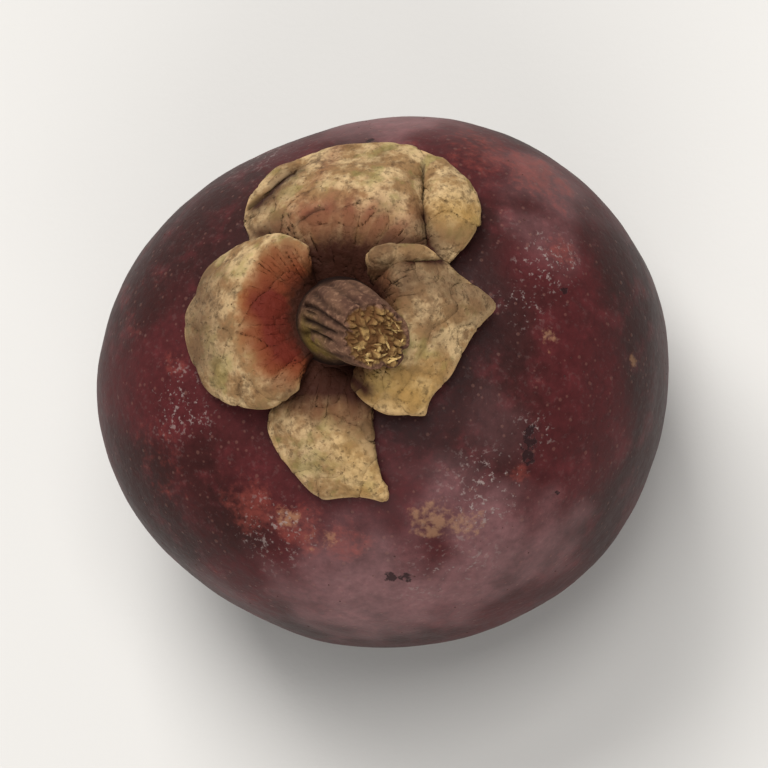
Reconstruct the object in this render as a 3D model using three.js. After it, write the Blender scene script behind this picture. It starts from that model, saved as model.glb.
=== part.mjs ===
// A mangosteen, whole and as picked: a thick oblate rind, the woody stalk stub with its receptacle, the four leathery
// sepals of the calyx round it, and the lobed stigma scar on the blossom end that the fruit stands on.
// Millimetres and degrees. +Z is up, along the fruit's own axis from the blossom end to the stalk. The origin is the
// middle of the flat spot under the stigma scar. Azimuths are counted from +X towards +Y, seen from above.
import * as THREE from "three";

// ---- Driving dimensions ----

const RIND = {
  halfX: 30.8, // half the widest width, along X
  halfY: 28.2,
  level: 26.6, // height of the widest ring
  up: 25.0, // from the widest ring to the top
  down: 26.1, // from the widest ring to the bottom
  squareUp: 2.35, // superellipse powers: 2 is an ellipse, more is squarer
  squareDown: 2.4,
  // What makes the plan less than a true oval: so many swellings round it, how large a share, and where one of them is.
  // The last six are the faint ribs over the segments inside.
  swellings: [
    { count: 1, size: 0.017, at: -38 },
    { count: 2, size: 0.018, at: 46 },
    { count: 3, size: 0.014, at: 56 },
    { count: 6, size: 0.004, at: 18 },
  ],
  stalkHollow: { depth: 1.0, radius: 7.5, power: 2 },
  blossomHollow: { depth: 1.6, radius: 7.6, power: 6 },
  around: 54,
  downTheSide: 34,
};

const STEM = {
  // Stations up the stalk: where its middle is, and its radius there. The first is the receptacle's flat foot.
  stations: [
    { x: 0, y: 0, z: 51.35, radius: 5.4 },
    { x: 0.1, y: -0.1, z: 52.7, radius: 5.3 },
    { x: 0.3, y: -0.3, z: 54.3, radius: 4.3 },
    { x: 0.8, y: -0.6, z: 56.4, radius: 4.0 },
    { x: 2.2, y: -1.6, z: 58.8, radius: 4.2 },
    { x: 4.1, y: -3.0, z: 60.4, radius: 4.1 },
    { x: 6.1, y: -4.4, z: 61.4, radius: 3.6 },
  ],
  furrows: { count: 7, size: 0.05, from: 0.2, full: 0.5 }, // lengthwise, from these shares of the stalk up
  around: 28,
  along: 20,
};

// Each sepal is a fan of spokes from the receptacle, like the ribs of an umbrella. A spoke ends at an azimuth and a
// reach from the axis. On its way it rises to a crest and comes down to a rim, both as heights over the rind. A fold is
// a line in plan along which the sheet is sunk, or raised where its depth is negative.
const SEPAL = {
  thickness: 1.5,
  edge: 0.6, // the edges are this share as thick
  foot: 6.2, // the spokes start this far from the axis
  clear: 1.1, // the middle of the sheet comes no nearer to the rind than this
  across: 28,
  along: 14,
};

const SEPALS = {
  // The outer pair lies on the rind.
  sepal_outer_far: {
    footLift: 1.1,
    crestAt: 11.0,
    footSpread: 0.85,
    spokes: [
      { at: 24, reach: 10.5, crest: 1.5, rim: 1.3 },
      { at: 31, reach: 16.0, crest: 2.1, rim: 1.5 },
      { at: 42, reach: 19.8, crest: 3.2, rim: 1.4 },
      { at: 62, reach: 21.2, crest: 3.9, rim: 1.3 },
      { at: 85, reach: 20.7, crest: 4.2, rim: 1.3 },
      { at: 115, reach: 20.0, crest: 3.2, rim: 1.2 },
      { at: 130, reach: 16.8, crest: 1.7, rim: 1.2 },
      { at: 137, reach: 12.0, crest: 1.3, rim: 1.2 },
    ],
    folds: [
      { from: [8.3, 18.5], to: [9.5, 8.3], depth: 1.4, width: 1.0 },
      { from: [11.8, 14.6], to: [13.4, 9.6], depth: -0.6, width: 2.0 },
      { from: [-10.4, 13.4], to: [-4.6, 18.2], depth: 0.9, width: 0.8 },
    ],
  },
  sepal_outer_near: {
    footLift: 1.1,
    crestAt: 9.0,
    footSpread: 1.5,
    spokes: [
      { at: 229, reach: 10.5, crest: 1.2, rim: 1.2 },
      { at: 234, reach: 13.6, crest: 1.5, rim: 1.2 },
      { at: 246, reach: 15.6, crest: 2.2, rim: 1.2 },
      { at: 258, reach: 17.6, crest: 2.4, rim: 1.2 },
      { at: 272, reach: 18.3, crest: 2.4, rim: 1.3 },
      { at: 284, reach: 18.9, crest: 2.2, rim: 1.6 },
      { at: 287, reach: 16.0, crest: 1.8, rim: 1.4 },
    ],
    folds: [],
  },
  // The inner pair lies over the outer one where they meet.
  sepal_inner_left: {
    footLift: 3.1,
    crestAt: 9.8,
    footSpread: 0.9,
    spokes: [
      { at: 116, reach: 8.5, crest: 5.8, rim: 5.4 },
      { at: 126, reach: 12.0, crest: 5.8, rim: 4.4 },
      { at: 137, reach: 14.0, crest: 5.6, rim: 3.2 },
      { at: 152, reach: 15.9, crest: 5.4, rim: 1.8 },
      { at: 176, reach: 17.0, crest: 5.2, rim: 1.4 },
      { at: 203, reach: 15.8, crest: 5.0, rim: 1.6 },
      { at: 226, reach: 12.8, crest: 5.0, rim: 3.3 },
      { at: 243, reach: 8.6, crest: 4.4, rim: 4.0 },
    ],
    folds: [],
  },
  sepal_inner_right: {
    footLift: 3.1,
    crestAt: 8.3,
    footSpread: 0.8,
    spokes: [
      { at: -81, reach: 7.4, crest: 4.2, rim: 4.0 },
      { at: -64, reach: 11.4, crest: 4.6, rim: 3.6 },
      { at: -46, reach: 14.4, crest: 5.0, rim: 3.0 },
      { at: -16, reach: 14.5, crest: 5.6, rim: 3.0 },
      { at: 7, reach: 16.8, crest: 5.8, rim: 2.3 },
      { at: 21, reach: 14.8, crest: 6.0, rim: 3.4 },
      { at: 33, reach: 13.1, crest: 6.2, rim: 4.8 },
      { at: 45, reach: 10.5, crest: 6.6, rim: 5.8 },
      { at: 58, reach: 8.0, crest: 6.2, rim: 6.0 },
    ],
    folds: [{ from: [5.4, 4.4], to: [11.4, 6.0], depth: 1.0, width: 0.8 }],
  },
};

const STIGMA = {
  lobes: 6,
  reach: 6.9,
  notch: 0.3, // how deep the gaps between the lobes are, as a share of the reach
  notchWidth: 9, // degrees
  height: 1.35,
  around: 96,
};

const COLOURS = {
  rind: 0x5a2a33,
  stem: 0x5c463a,
  sepal: 0x9c8250,
  stigma: 0x4b3328,
};

// ---- Helpers ----

const degrees = THREE.MathUtils.degToRad;

/** Moves every vertex of a ready-made geometry to where place(x, y, z) says. */
function reshape(geometry, place) {
  const position = geometry.getAttribute("position");
  for (let i = 0; i < position.count; i++) {
    const to = place(position.getX(i), position.getY(i), position.getZ(i));
    position.setXYZ(i, to.x, to.y, to.z);
  }
  geometry.computeVertexNormals();
  return geometry;
}

/** A smooth curve through evenly spaced values: share 0 is the first of them and share 1 the last. */
function through(values, share) {
  const last = values.length - 1;
  const at = THREE.MathUtils.clamp(share, 0, 1) * last;
  const i = Math.min(Math.floor(at), last - 1);
  const f = at - i;
  const [a, b, c, d] = [i - 1, i, i + 1, i + 2].map((k) => values[THREE.MathUtils.clamp(k, 0, last)]);
  return b + 0.5 * f * (c - a + f * (2 * a - 5 * b + 4 * c - d + f * (3 * (b - c) + d - a)));
}

/** How far a point in plan is from the straight line between two others. */
function distanceToLine(x, y, [fromX, fromY], [toX, toY]) {
  const [dx, dy] = [toX - fromX, toY - fromY];
  const along = THREE.MathUtils.clamp(((x - fromX) * dx + (y - fromY) * dy) / (dx * dx + dy * dy), 0, 1);
  return Math.hypot(x - fromX - along * dx, y - fromY - along * dy);
}

// ---- Rind ----

/** The rind's widest radius at an azimuth in radians. */
function planRadius(azimuth) {
  const oval = 1 / Math.hypot(Math.cos(azimuth) / RIND.halfX, Math.sin(azimuth) / RIND.halfY);
  const swell = ({ count, size, at }) => size * Math.cos(count * (azimuth - degrees(at)));
  return RIND.swellings.reduce((radius, swelling) => radius + oval * swell(swelling), oval);
}

const hollowAt = ({ depth, radius, power }, r) => depth * Math.exp(-((r / radius) ** power));

/** Height of the rind's upper side at a distance from the axis and an azimuth. */
function rindTop(r, azimuth) {
  const share = Math.min(r / planRadius(azimuth), 1);
  const dome = (1 - share ** RIND.squareUp) ** (1 / RIND.squareUp);
  return RIND.level + RIND.up * dome - hollowAt(RIND.stalkHollow, r);
}

/** Height of the rind's underside. */
function rindUnder(r, azimuth) {
  const share = Math.min(r / planRadius(azimuth), 1);
  const dome = (1 - share ** RIND.squareDown) ** (1 / RIND.squareDown);
  return RIND.level - RIND.down * dome + hollowAt(RIND.blossomHollow, r);
}

function rindGeometry() {
  const ball = new THREE.SphereGeometry(1, RIND.around, RIND.downTheSide).rotateX(Math.PI / 2);
  return reshape(ball, (x, y, z) => {
    const azimuth = Math.atan2(y, x);
    const upper = z > 1e-6;
    const square = upper ? RIND.squareUp : RIND.squareDown;
    const flat = Math.hypot(x, y);
    // The point of the superellipse in this direction.
    const share = flat / (flat ** square + Math.abs(z) ** square) ** (1 / square);
    const r = share * planRadius(azimuth);
    const height = upper ? rindTop(r, azimuth) : rindUnder(r, azimuth);
    return new THREE.Vector3(r * Math.cos(azimuth), r * Math.sin(azimuth), height);
  });
}

// ---- Stem ----

function stemGeometry() {
  const { stations, furrows, around, along } = STEM;
  const middle = new THREE.CatmullRomCurve3(stations.map((s) => new THREE.Vector3(s.x, s.y, s.z)));
  const radii = stations.map((s) => s.radius);
  const frames = middle.computeFrenetFrames(along);
  const post = new THREE.CylinderGeometry(1, 1, 1, around, along);
  return reshape(post, (x, y, z) => {
    const step = Math.round((y + 0.5) * along);
    const turn = Math.atan2(z, x);
    const furrowed = THREE.MathUtils.smoothstep(step / along, furrows.from, furrows.full);
    const furrow = 1 + furrowed * furrows.size * Math.cos(furrows.count * turn);
    const radius = Math.hypot(x, z) * through(radii, step / along) * furrow;
    return middle
      .getPoint(step / along)
      .addScaledVector(frames.normals[step], radius * Math.cos(turn))
      .addScaledVector(frames.binormals[step], -radius * Math.sin(turn));
  });
}

// ---- Sepals ----

/** A point of a sepal's middle surface: across runs from 0 to 1 over its spokes, along from its foot to its rim. */
function sepalPoint(sepal, across, along) {
  const { spokes, footLift, crestAt, footSpread, folds } = sepal;
  const value = (key) => through(spokes.map((spoke) => spoke[key]), across);
  const middle = (spokes[0].at + spokes[spokes.length - 1].at) / 2;
  const spread = THREE.MathUtils.lerp(footSpread, 1, THREE.MathUtils.smoothstep(along, 0, 1));
  const azimuth = degrees(middle + (value("at") - middle) * spread);
  const reach = value("reach");
  const r = THREE.MathUtils.lerp(SEPAL.foot, reach, along);
  const crestR = Math.min(crestAt, THREE.MathUtils.lerp(SEPAL.foot, reach, 0.7));
  const inside = Math.min((r - SEPAL.foot) / (crestR - SEPAL.foot), 1);
  const outside = Math.max((r - crestR) / (reach - crestR), 0);
  const rise = (value("crest") - footLift) * Math.sin((inside * Math.PI) / 2);
  const fall = (value("crest") - value("rim")) * (1 - Math.cos((outside * Math.PI) / 2));
  const [x, y] = [r * Math.cos(azimuth), r * Math.sin(azimuth)];
  const depthOf = (fold) => fold.depth * Math.exp(-((distanceToLine(x, y, fold.from, fold.to) / fold.width) ** 2));
  const sunk = folds.reduce((sum, fold) => sum + depthOf(fold), 0);
  const lift = Math.max(footLift + rise - fall - sunk, SEPAL.clear);
  return new THREE.Vector3(x, y, rindTop(r, azimuth) + lift);
}

/** A box, finely divided, bent into the sepal: its width becomes across, its height along and its depth the thickness. */
function sepalGeometry(sepal) {
  const step = 1e-3;
  const box = new THREE.BoxGeometry(1, 1, 1, SEPAL.across, SEPAL.along, 1);
  return reshape(box, (x, y, z) => {
    const [across, along] = [0.5 - x, y + 0.5];
    const point = sepalPoint(sepal, across, along);
    const sideways = sepalPoint(sepal, across + step, along).sub(sepalPoint(sepal, across - step, along));
    const outwards = sepalPoint(sepal, across, along + step).sub(sepalPoint(sepal, across, along - step));
    const normal = outwards.cross(sideways).normalize();
    const fromEdge = Math.min(1 - Math.abs(2 * across - 1), (1 - along) * 2, 0.2) / 0.2;
    const thick = SEPAL.thickness * THREE.MathUtils.lerp(SEPAL.edge, 1, Math.sqrt(fromEdge));
    return point.addScaledVector(normal, thick * z);
  });
}

// ---- Stigma scar ----

function stigmaGeometry() {
  const { lobes, reach, notch, notchWidth, height, around } = STIGMA;
  const outline = Array.from({ length: around }, (_, i) => {
    const azimuth = (i / around) * 2 * Math.PI;
    const lobe = (2 * Math.PI) / lobes;
    const fromNotch = (azimuth + lobe / 2) % lobe - lobe / 2;
    const radius = reach * (1 - notch * Math.exp(-((fromNotch / degrees(notchWidth)) ** 2)));
    return new THREE.Vector2(radius * Math.cos(azimuth), radius * Math.sin(azimuth));
  });
  return new THREE.ExtrudeGeometry(new THREE.Shape(outline), { depth: height, bevelEnabled: false });
}

// ---- The fruit ----

const mangosteen = new THREE.Group();
mangosteen.name = "mangosteen";

function add(name, geometry, color, roughness) {
  const mesh = new THREE.Mesh(geometry, new THREE.MeshStandardMaterial({ color, roughness, metalness: 0 }));
  mesh.name = name;
  mangosteen.add(mesh);
}

add("rind", rindGeometry(), COLOURS.rind, 0.45);
add("stem", stemGeometry(), COLOURS.stem, 0.85);
for (const [name, sepal] of Object.entries(SEPALS)) add(name, sepalGeometry(sepal), COLOURS.sepal, 0.8);
add("stigma", stigmaGeometry(), COLOURS.stigma, 0.85);

export default mangosteen;
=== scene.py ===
"""A whole mangosteen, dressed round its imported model.

The rind, the stalk, the sepals and the stigma scar are grown here as fine meshes of the same forms as the
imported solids, with their furrows, wrinkles, curls, specks and torn fibres, and get their finishes.

Lengths are metres; sizes are written as millimetres times MM, and the sepals and the stalk are worked out in
millimetres throughout. +Z is up along the fruit's own axis, from the stigma scar to the stalk, and the origin
is the middle of the spot that the fruit stands on. Azimuths are degrees from +X towards +Y, seen from above.
"""

import logging
import math
import random
from collections.abc import Sequence
from dataclasses import dataclass
from enum import Enum

import bmesh
import bpy
import numpy as np
from mathutils import Matrix, Vector, noise

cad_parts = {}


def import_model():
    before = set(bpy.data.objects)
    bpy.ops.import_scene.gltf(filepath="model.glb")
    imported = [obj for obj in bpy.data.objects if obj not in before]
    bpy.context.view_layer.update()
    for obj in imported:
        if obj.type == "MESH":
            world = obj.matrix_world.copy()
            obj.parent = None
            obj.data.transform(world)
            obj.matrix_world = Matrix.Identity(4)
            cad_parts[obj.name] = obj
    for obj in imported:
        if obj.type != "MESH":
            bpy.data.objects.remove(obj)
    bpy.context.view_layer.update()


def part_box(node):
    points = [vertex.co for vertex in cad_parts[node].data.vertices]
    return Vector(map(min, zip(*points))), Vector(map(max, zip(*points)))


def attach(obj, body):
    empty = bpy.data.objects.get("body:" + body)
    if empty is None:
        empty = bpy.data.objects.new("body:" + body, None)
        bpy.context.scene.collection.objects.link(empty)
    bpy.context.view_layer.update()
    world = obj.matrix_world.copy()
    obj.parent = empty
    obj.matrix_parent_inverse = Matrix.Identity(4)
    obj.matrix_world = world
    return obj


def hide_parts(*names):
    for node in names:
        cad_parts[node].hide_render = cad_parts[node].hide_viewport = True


LOG = logging.getLogger("mangosteen")
MM = 0.001
BODY = "root"
TINY = 1e-12

# A cloudy noise swings about its mean by a half at most, so twice as much is about its whole reach.
NOISE_MEAN = 0.5
NOISE_REACH = 2.0

# How far a pattern is moved for each seed.
SHADER_SEED_STEP = (0.1, 0.07, 0.03)
MESH_SEED_STEP = (17.0, 5.0, 11.0)

# The sockets that a Mix node uses for colours, and a Random Value node for plain numbers.
MIX_SOCKETS = (0, 6, 7)
RANDOM_SOCKETS = (2, 3)

Colour = tuple[float, float, float, float]
Band = tuple[float, float]


def paint(code: str) -> Colour:
    """Turns a colour into the linear numbers that shaders take.

    Args:
        code: The colour as six hex digits.

    Returns:
        Red, green and blue from 0 to 1, and full cover.
    """
    parts = [int(code[i : i + 2], 16) / 255 for i in (0, 2, 4)]
    red, green, blue = (((c + 0.055) / 1.055) ** 2.4 if c > 0.04045 else c / 12.92 for c in parts)
    return (red, green, blue, 1.0)


# ---- Writing nodes ----


@dataclass(frozen=True)
class Cloud:
    """A cloudy noise: how large its clouds are, its seed, how many finer layers it has and how strong."""

    feature: float
    seed: int
    detail: float = 3.0
    rough: float = 0.5


@dataclass(frozen=True)
class Relief:
    """Unevenness of a surface: its name, how far it goes to either side, and the noise that it follows."""

    name: str
    depth: float
    cloud: Cloud


@dataclass(frozen=True)
class Coat:
    """A colour that lies over the ones below it where a pattern says so.

    The strength is how much of it shows there. The band holds the pattern's values at its edges, or is None
    where the pattern already runs from 0 to 1. The relief is how far it stands out of the skin or is sunk in.
    """

    colour: Colour
    strength: float = 1.0
    band: Band | None = None
    relief: float = 0.0


@dataclass(frozen=True)
class Field:
    """A value that nodes work out, so that a rule can be written as arithmetic."""

    sheet: "Sheet"
    socket: bpy.types.NodeSocket

    def __add__(self, other: "Feed") -> "Field":
        """The sum."""
        return self.sheet.math("ADD", self, other)

    def __sub__(self, other: "Feed") -> "Field":
        """The difference."""
        return self.sheet.math("SUBTRACT", self, other)

    def __rsub__(self, other: "Feed") -> "Field":
        """The difference, taken from a plain number."""
        return self.sheet.math("SUBTRACT", other, self)

    def __mul__(self, other: "Feed") -> "Field":
        """The product."""
        return self.sheet.math("MULTIPLY", self, other)

    def __truediv__(self, other: "Feed") -> "Field":
        """The quotient."""
        return self.sheet.math("DIVIDE", self, other)

    def __pow__(self, other: "Feed") -> "Field":
        """The power, of a base that isn't negative."""
        return self.sheet.math("POWER", self, other)

    def __neg__(self) -> "Field":
        """The value with its sign turned."""
        return self.sheet.math("MULTIPLY", self, -1.0)

    __radd__ = __add__
    __rmul__ = __mul__

    def swing(self, reach: float, middle: float = NOISE_MEAN) -> "Field":
        """The value about its middle, stretched by reach, so that it swings to either side of 0."""
        return (self - middle) * reach


@dataclass(frozen=True)
class Ramp:
    """A number that grows with another: what it is at 0, and how much more at 1."""

    base: float
    gain: float

    def of(self, value: Field) -> Field:
        """The number for a value."""
        return self.base + value * self.gain


Feed = Field | float | int | bool | str | Sequence[float] | bpy.types.ID


class Sheet:
    """Writes nodes into one tree."""

    def __init__(self, tree: bpy.types.NodeTree) -> None:
        """Takes the tree to write into."""
        self.tree = tree

    def feed(self, socket: bpy.types.NodeSocket, value: Feed) -> None:
        """Fills a socket.

        Args:
            socket: The input.
            value: A constant for it, or a field to link to it.
        """
        if isinstance(value, Field):
            self.tree.links.new(value.socket, socket)
        else:
            socket.default_value = value

    def call(self, kind: str, inputs: dict[str, Feed], output: int | str = 0, **options: object) -> Field:
        """Adds a node.

        Args:
            kind: Blender's name for the sort of node.
            inputs: What goes into its sockets, by their names.
            output: Which of its outputs is wanted.
            **options: The node's own settings.

        Returns:
            The chosen output.
        """
        node = self.tree.nodes.new(kind)
        for name, value in options.items():
            setattr(node, name, value)
        for name, value in inputs.items():
            self.feed(node.inputs[name], value)
        return Field(self, node.outputs[output])

    def math(self, operation: str, *values: Feed) -> Field:
        """One step of arithmetic on plain numbers.

        Args:
            operation: Blender's name for it.
            *values: What it works on.

        Returns:
            The result.
        """
        node = self.tree.nodes.new("ShaderNodeMath")
        node.operation = operation
        for socket, value in zip(node.inputs, values):
            self.feed(socket, value)
        return Field(self, node.outputs[0])

    def vector(self, operation: str, *values: Feed) -> Field:
        """One step of arithmetic on vectors.

        Args:
            operation: Blender's name for it.
            *values: What it works on. SCALE takes its number as the last value.

        Returns:
            The vector that it makes.
        """
        node = self.tree.nodes.new("ShaderNodeVectorMath")
        node.operation = operation
        sockets = [node.inputs[0], node.inputs["Scale"]] if operation == "SCALE" else node.inputs
        for socket, value in zip(sockets, values):
            self.feed(socket, value)
        return Field(self, node.outputs["Vector"])

    def split(self, vector: Field) -> tuple[Field, Field, Field]:
        """Takes a vector apart.

        Args:
            vector: The vector.

        Returns:
            Its X, Y and Z.
        """
        node = self.tree.nodes.new("ShaderNodeSeparateXYZ")
        self.feed(node.inputs[0], vector)
        x, y, z = (Field(self, socket) for socket in node.outputs)
        return x, y, z

    def join(self, x: Feed, y: Feed, z: Feed) -> Field:
        """A vector from its three parts."""
        return self.call("ShaderNodeCombineXYZ", {"X": x, "Y": y, "Z": z})

    def between(self, value: Field, low: float, high: float) -> Field:
        """0 below low, 1 above high and a soft step in between. With low above high it runs the other way."""
        limits = {"Value": value, "From Min": low, "From Max": high}
        return self.call("ShaderNodeMapRange", limits, interpolation_type="SMOOTHSTEP")

    def shifted(self, at: Field, seed: int) -> Field:
        """A place moved by a step for each seed, so that two patterns of one size differ."""
        return self.vector("ADD", at, tuple(step * seed for step in SHADER_SEED_STEP))

    def grain(self, at: Field, cloud: Cloud) -> Field:
        """Cloudy noise at a place, from about 0.2 to 0.8."""
        inputs = {"Vector": self.shifted(at, cloud.seed), "Scale": 1 / cloud.feature}
        return self.call("ShaderNodeTexNoise", inputs | {"Detail": cloud.detail, "Roughness": cloud.rough})


class Recipe(Sheet):
    """A Geometry Nodes tree with named sizes, which is grown once into a plain mesh."""

    def __init__(self, name: str) -> None:
        """Starts an empty tree.

        Args:
            name: The name of the piece that it will make.
        """
        super().__init__(bpy.data.node_groups.new(name, "GeometryNodeTree"))
        self.name = name
        self.values: dict[str, float | int] = {}
        self.tree.interface.new_socket(name="Host", in_out="INPUT", socket_type="NodeSocketGeometry")
        self.tree.interface.new_socket(name="Geometry", in_out="OUTPUT", socket_type="NodeSocketGeometry")
        self.entry = self.tree.nodes.new("NodeGroupInput")
        self.exit = self.tree.nodes.new("NodeGroupOutput")

    def size(self, name: str, value: float | int) -> Field:
        """Adds a named input.

        Args:
            name: Its name.
            value: What the modifier will give it.

        Returns:
            The input as a field.
        """
        kind = "NodeSocketInt" if isinstance(value, int) else "NodeSocketFloat"
        socket = self.tree.interface.new_socket(name=name, in_out="INPUT", socket_type=kind)
        self.values[socket.identifier] = value
        return Field(self, self.entry.outputs[name])

    def place(self) -> Field:
        """Where each point is."""
        return self.call("GeometryNodeInputPosition", {})

    def normal(self) -> Field:
        """Which way the surface faces at each point."""
        return self.call("GeometryNodeInputNormal", {})

    def ball(self, around: int, rings: int) -> Field:
        """A unit ball of so many points round it and rings up it, both named inputs."""
        inputs = {"Segments": self.size("Points around", around), "Rings": self.size("Rings", rings)}
        return self.call("GeometryNodeMeshUVSphere", inputs | {"Radius": 1.0})

    def random(self, low: float, high: float, seed: Feed) -> Field:
        """Draws a random number for each point.

        Args:
            low: The least that it can be.
            high: The most that it can be.
            seed: Which series it is from.

        Returns:
            The number.
        """
        node = self.tree.nodes.new("FunctionNodeRandomValue")
        node.data_type = "FLOAT"
        for index, value in zip(RANDOM_SOCKETS, (low, high)):
            self.feed(node.inputs[index], value)
        self.feed(node.inputs["Seed"], seed)
        return Field(self, node.outputs[1])

    def spread(self, density: float, seed: Field, where: Field | None = None) -> tuple[Field, Field]:
        """Scatters points over the mesh that the recipe grows on.

        Args:
            density: How many points a square metre gets.
            seed: Which series of places they are at.
            where: Which faces get them, where not all do.

        Returns:
            The points, and how each is turned to lie on the surface.
        """
        node = self.tree.nodes.new("GeometryNodeDistributePointsOnFaces")
        self.feed(node.inputs["Mesh"], Field(self, self.entry.outputs["Host"]))
        self.feed(node.inputs["Density"], self.size("Number a square metre", density))
        self.feed(node.inputs["Seed"], seed)
        if where is not None:
            self.feed(node.inputs["Selection"], where)
        return Field(self, node.outputs["Points"]), Field(self, node.outputs["Rotation"])

    def grain_ball(self, radius: float, detail: int, stretch: tuple[float, float, float]) -> Field:
        """One small ball to copy.

        Args:
            radius: Its radius before it is stretched, a named input.
            detail: How finely it is divided.
            stretch: How much longer, wider and taller it is made.

        Returns:
            The ball.
        """
        inputs = {"Radius": self.size("Radius", radius), "Subdivisions": detail}
        ball = self.call("GeometryNodeMeshIcoSphere", inputs)
        return self.call("GeometryNodeTransform", {"Geometry": ball, "Scale": stretch})

    def copies(self, points: Field, piece: Field, turn: Field, scale: Field) -> Field:
        """A copy of a piece at each point, turned and scaled."""
        inputs = {"Points": points, "Instance": piece, "Rotation": turn, "Scale": scale}
        return self.call("GeometryNodeInstanceOnPoints", inputs)

    def uneven(self, relief: Relief) -> Field:
        """How far the surface goes in or out at each point. The depth is a named input."""
        noisy = self.grain(self.place(), relief.cloud) - NOISE_MEAN
        return noisy * self.size(relief.name, relief.depth) * NOISE_REACH

    def placed(self, geometry: Field, position: Field) -> Field:
        """The geometry with its points set to a position."""
        return self.call("GeometryNodeSetPosition", {"Geometry": geometry, "Position": position})

    def moved(self, geometry: Field, offset: Field) -> Field:
        """The geometry with its points shifted by an offset."""
        return self.call("GeometryNodeSetPosition", {"Geometry": geometry, "Offset": offset})

    def grow(
        self, geometry: Field, material: bpy.types.Material, host: bpy.types.Mesh | None = None
    ) -> bpy.types.Object:
        """Ends the tree and turns its result into a plain mesh.

        Args:
            geometry: What the tree makes.
            material: The finish of all of it.
            host: The mesh that it grows on, where it needs one.

        Returns:
            An object that holds only the mesh.
        """
        real = self.call("GeometryNodeRealizeInstances", {"Geometry": geometry})
        smooth = self.call("GeometryNodeSetShadeSmooth", {"Geometry": real})
        done = self.call("GeometryNodeSetMaterial", {"Geometry": smooth, "Material": material})
        self.tree.links.new(done.socket, self.exit.inputs["Geometry"])
        ground = linked(self.name + "_ground", host.copy() if host else bpy.data.meshes.new(self.name))
        modifier = ground.modifiers.new("grow", "NODES")
        modifier.node_group = self.tree
        for identifier, value in self.values.items():
            modifier[identifier] = value
        depsgraph = bpy.context.evaluated_depsgraph_get()
        mesh = bpy.data.meshes.new_from_object(ground.evaluated_get(depsgraph), depsgraph=depsgraph)
        mesh.name = self.name
        bpy.data.objects.remove(ground)
        return linked(self.name, mesh)


class Shader(Sheet):
    """A Principled material that is being written, coat upon coat. Its patterns read Object coordinates."""

    def __init__(self, name: str, tone: Colour, gloss: float | None = None) -> None:
        """Starts a material.

        Args:
            name: Its name.
            tone: The colour that its coats lie on.
            gloss: How strongly it mirrors, or None for the usual half.
        """
        self.tone: Feed = tone
        self.material = bpy.data.materials.new(name)
        self.material.use_nodes = True
        super().__init__(self.material.node_tree)
        self.surface = self.tree.nodes["Principled BSDF"]
        self.place = self.call("ShaderNodeTexCoord", {}, "Object")
        if gloss is not None:
            self.surface.inputs["Specular IOR Level"].default_value = gloss

    def attribute(self, name: str) -> Field:
        """A number that the mesh carries at each point."""
        return self.call("ShaderNodeAttribute", {}, "Fac", attribute_name=name)

    def clouds(self, cloud: Cloud) -> Field:
        """Cloudy noise at the surface."""
        return self.grain(self.place, cloud)

    def cells(self, feature: float, seed: int) -> tuple[Field, Field]:
        """Scatters points through space.

        Args:
            feature: How far apart they are.
            seed: Tells two patterns of one size apart.

        Returns:
            How far the nearest point is, as a share of their spacing, and a random number for each point.
        """
        node = self.tree.nodes.new("ShaderNodeTexVoronoi")
        self.feed(node.inputs["Vector"], self.shifted(self.place, seed))
        self.feed(node.inputs["Scale"], 1 / feature)
        chance, _, _ = self.split(Field(self, node.outputs["Color"]))
        return Field(self, node.outputs["Distance"]), chance

    def mix(self, share: Feed, one: Feed, other: Feed) -> Field:
        """Blends two colours.

        Args:
            share: 0 for the one, 1 for the other.
            one: The first colour.
            other: The second colour.

        Returns:
            The blend.
        """
        node = self.tree.nodes.new("ShaderNodeMix")
        node.data_type = "RGBA"
        for index, value in zip(MIX_SOCKETS, (share, one, other)):
            self.feed(node.inputs[index], value)
        return Field(self, node.outputs[2])

    def lay(self, coat: Coat, pattern: Field, within: Field | None = None) -> Field:
        """Lays a coat over the colour so far.

        Args:
            coat: The coat.
            pattern: What says where it lies.
            within: What its cover is multiplied by, where it keeps to a part.

        Returns:
            Where the coat lies, from 0 to 1.
        """
        cover = self.between(pattern, *coat.band) if coat.band else pattern
        if within is not None:
            cover = cover * within
        share = cover if coat.strength == 1.0 else cover * coat.strength
        self.tone = self.mix(share, self.tone, coat.colour)
        return cover

    def shade(self, value: Feed) -> None:
        """Makes the colour so far lighter or darker: 1 leaves it as it is."""
        self.tone = self.call("ShaderNodeHueSaturation", {"Color": self.tone, "Value": value})

    def close(self, roughness: Feed, height: Field, depth: float) -> bpy.types.Material:
        """Joins the colour and the patterns to the shader.

        Args:
            roughness: The roughness.
            height: The fine relief, from 0 to 1.
            depth: How much that relief stands for.

        Returns:
            The finished material.
        """
        self.feed(self.surface.inputs["Base Color"], self.tone)
        self.feed(self.surface.inputs["Roughness"], roughness)
        bump = self.call("ShaderNodeBump", {"Strength": 1.0, "Distance": depth, "Height": height})
        self.feed(self.surface.inputs["Normal"], bump)
        return self.material


# ---- Meshes ----


def linked(name: str, data: bpy.types.ID | None) -> bpy.types.Object:
    """Makes an object and puts it in the scene.

    Args:
        name: Its name.
        data: Its mesh, lamp or camera.

    Returns:
        The object.
    """
    made = bpy.data.objects.new(name, data)
    bpy.context.scene.collection.objects.link(made)
    return made


def grid_faces(rows: int, columns: int, start: int = 0, closed: bool = False) -> np.ndarray:
    """The quads of a grid of points that are numbered row by row.

    Args:
        rows: How many rows of points there are.
        columns: How many points a row has.
        start: The number of the first point.
        closed: Whether each row's end joins its start.

    Returns:
        Four point numbers for each quad.
    """
    last = columns if closed else columns - 1
    row, column = np.meshgrid(np.arange(rows - 1), np.arange(last), indexing="ij")
    after = (column + 1) % columns
    here, above = row * columns, (row + 1) * columns
    corners = [here + column, here + after, above + after, above + column]
    return start + np.stack(corners, axis=-1).reshape(-1, 4)


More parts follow.
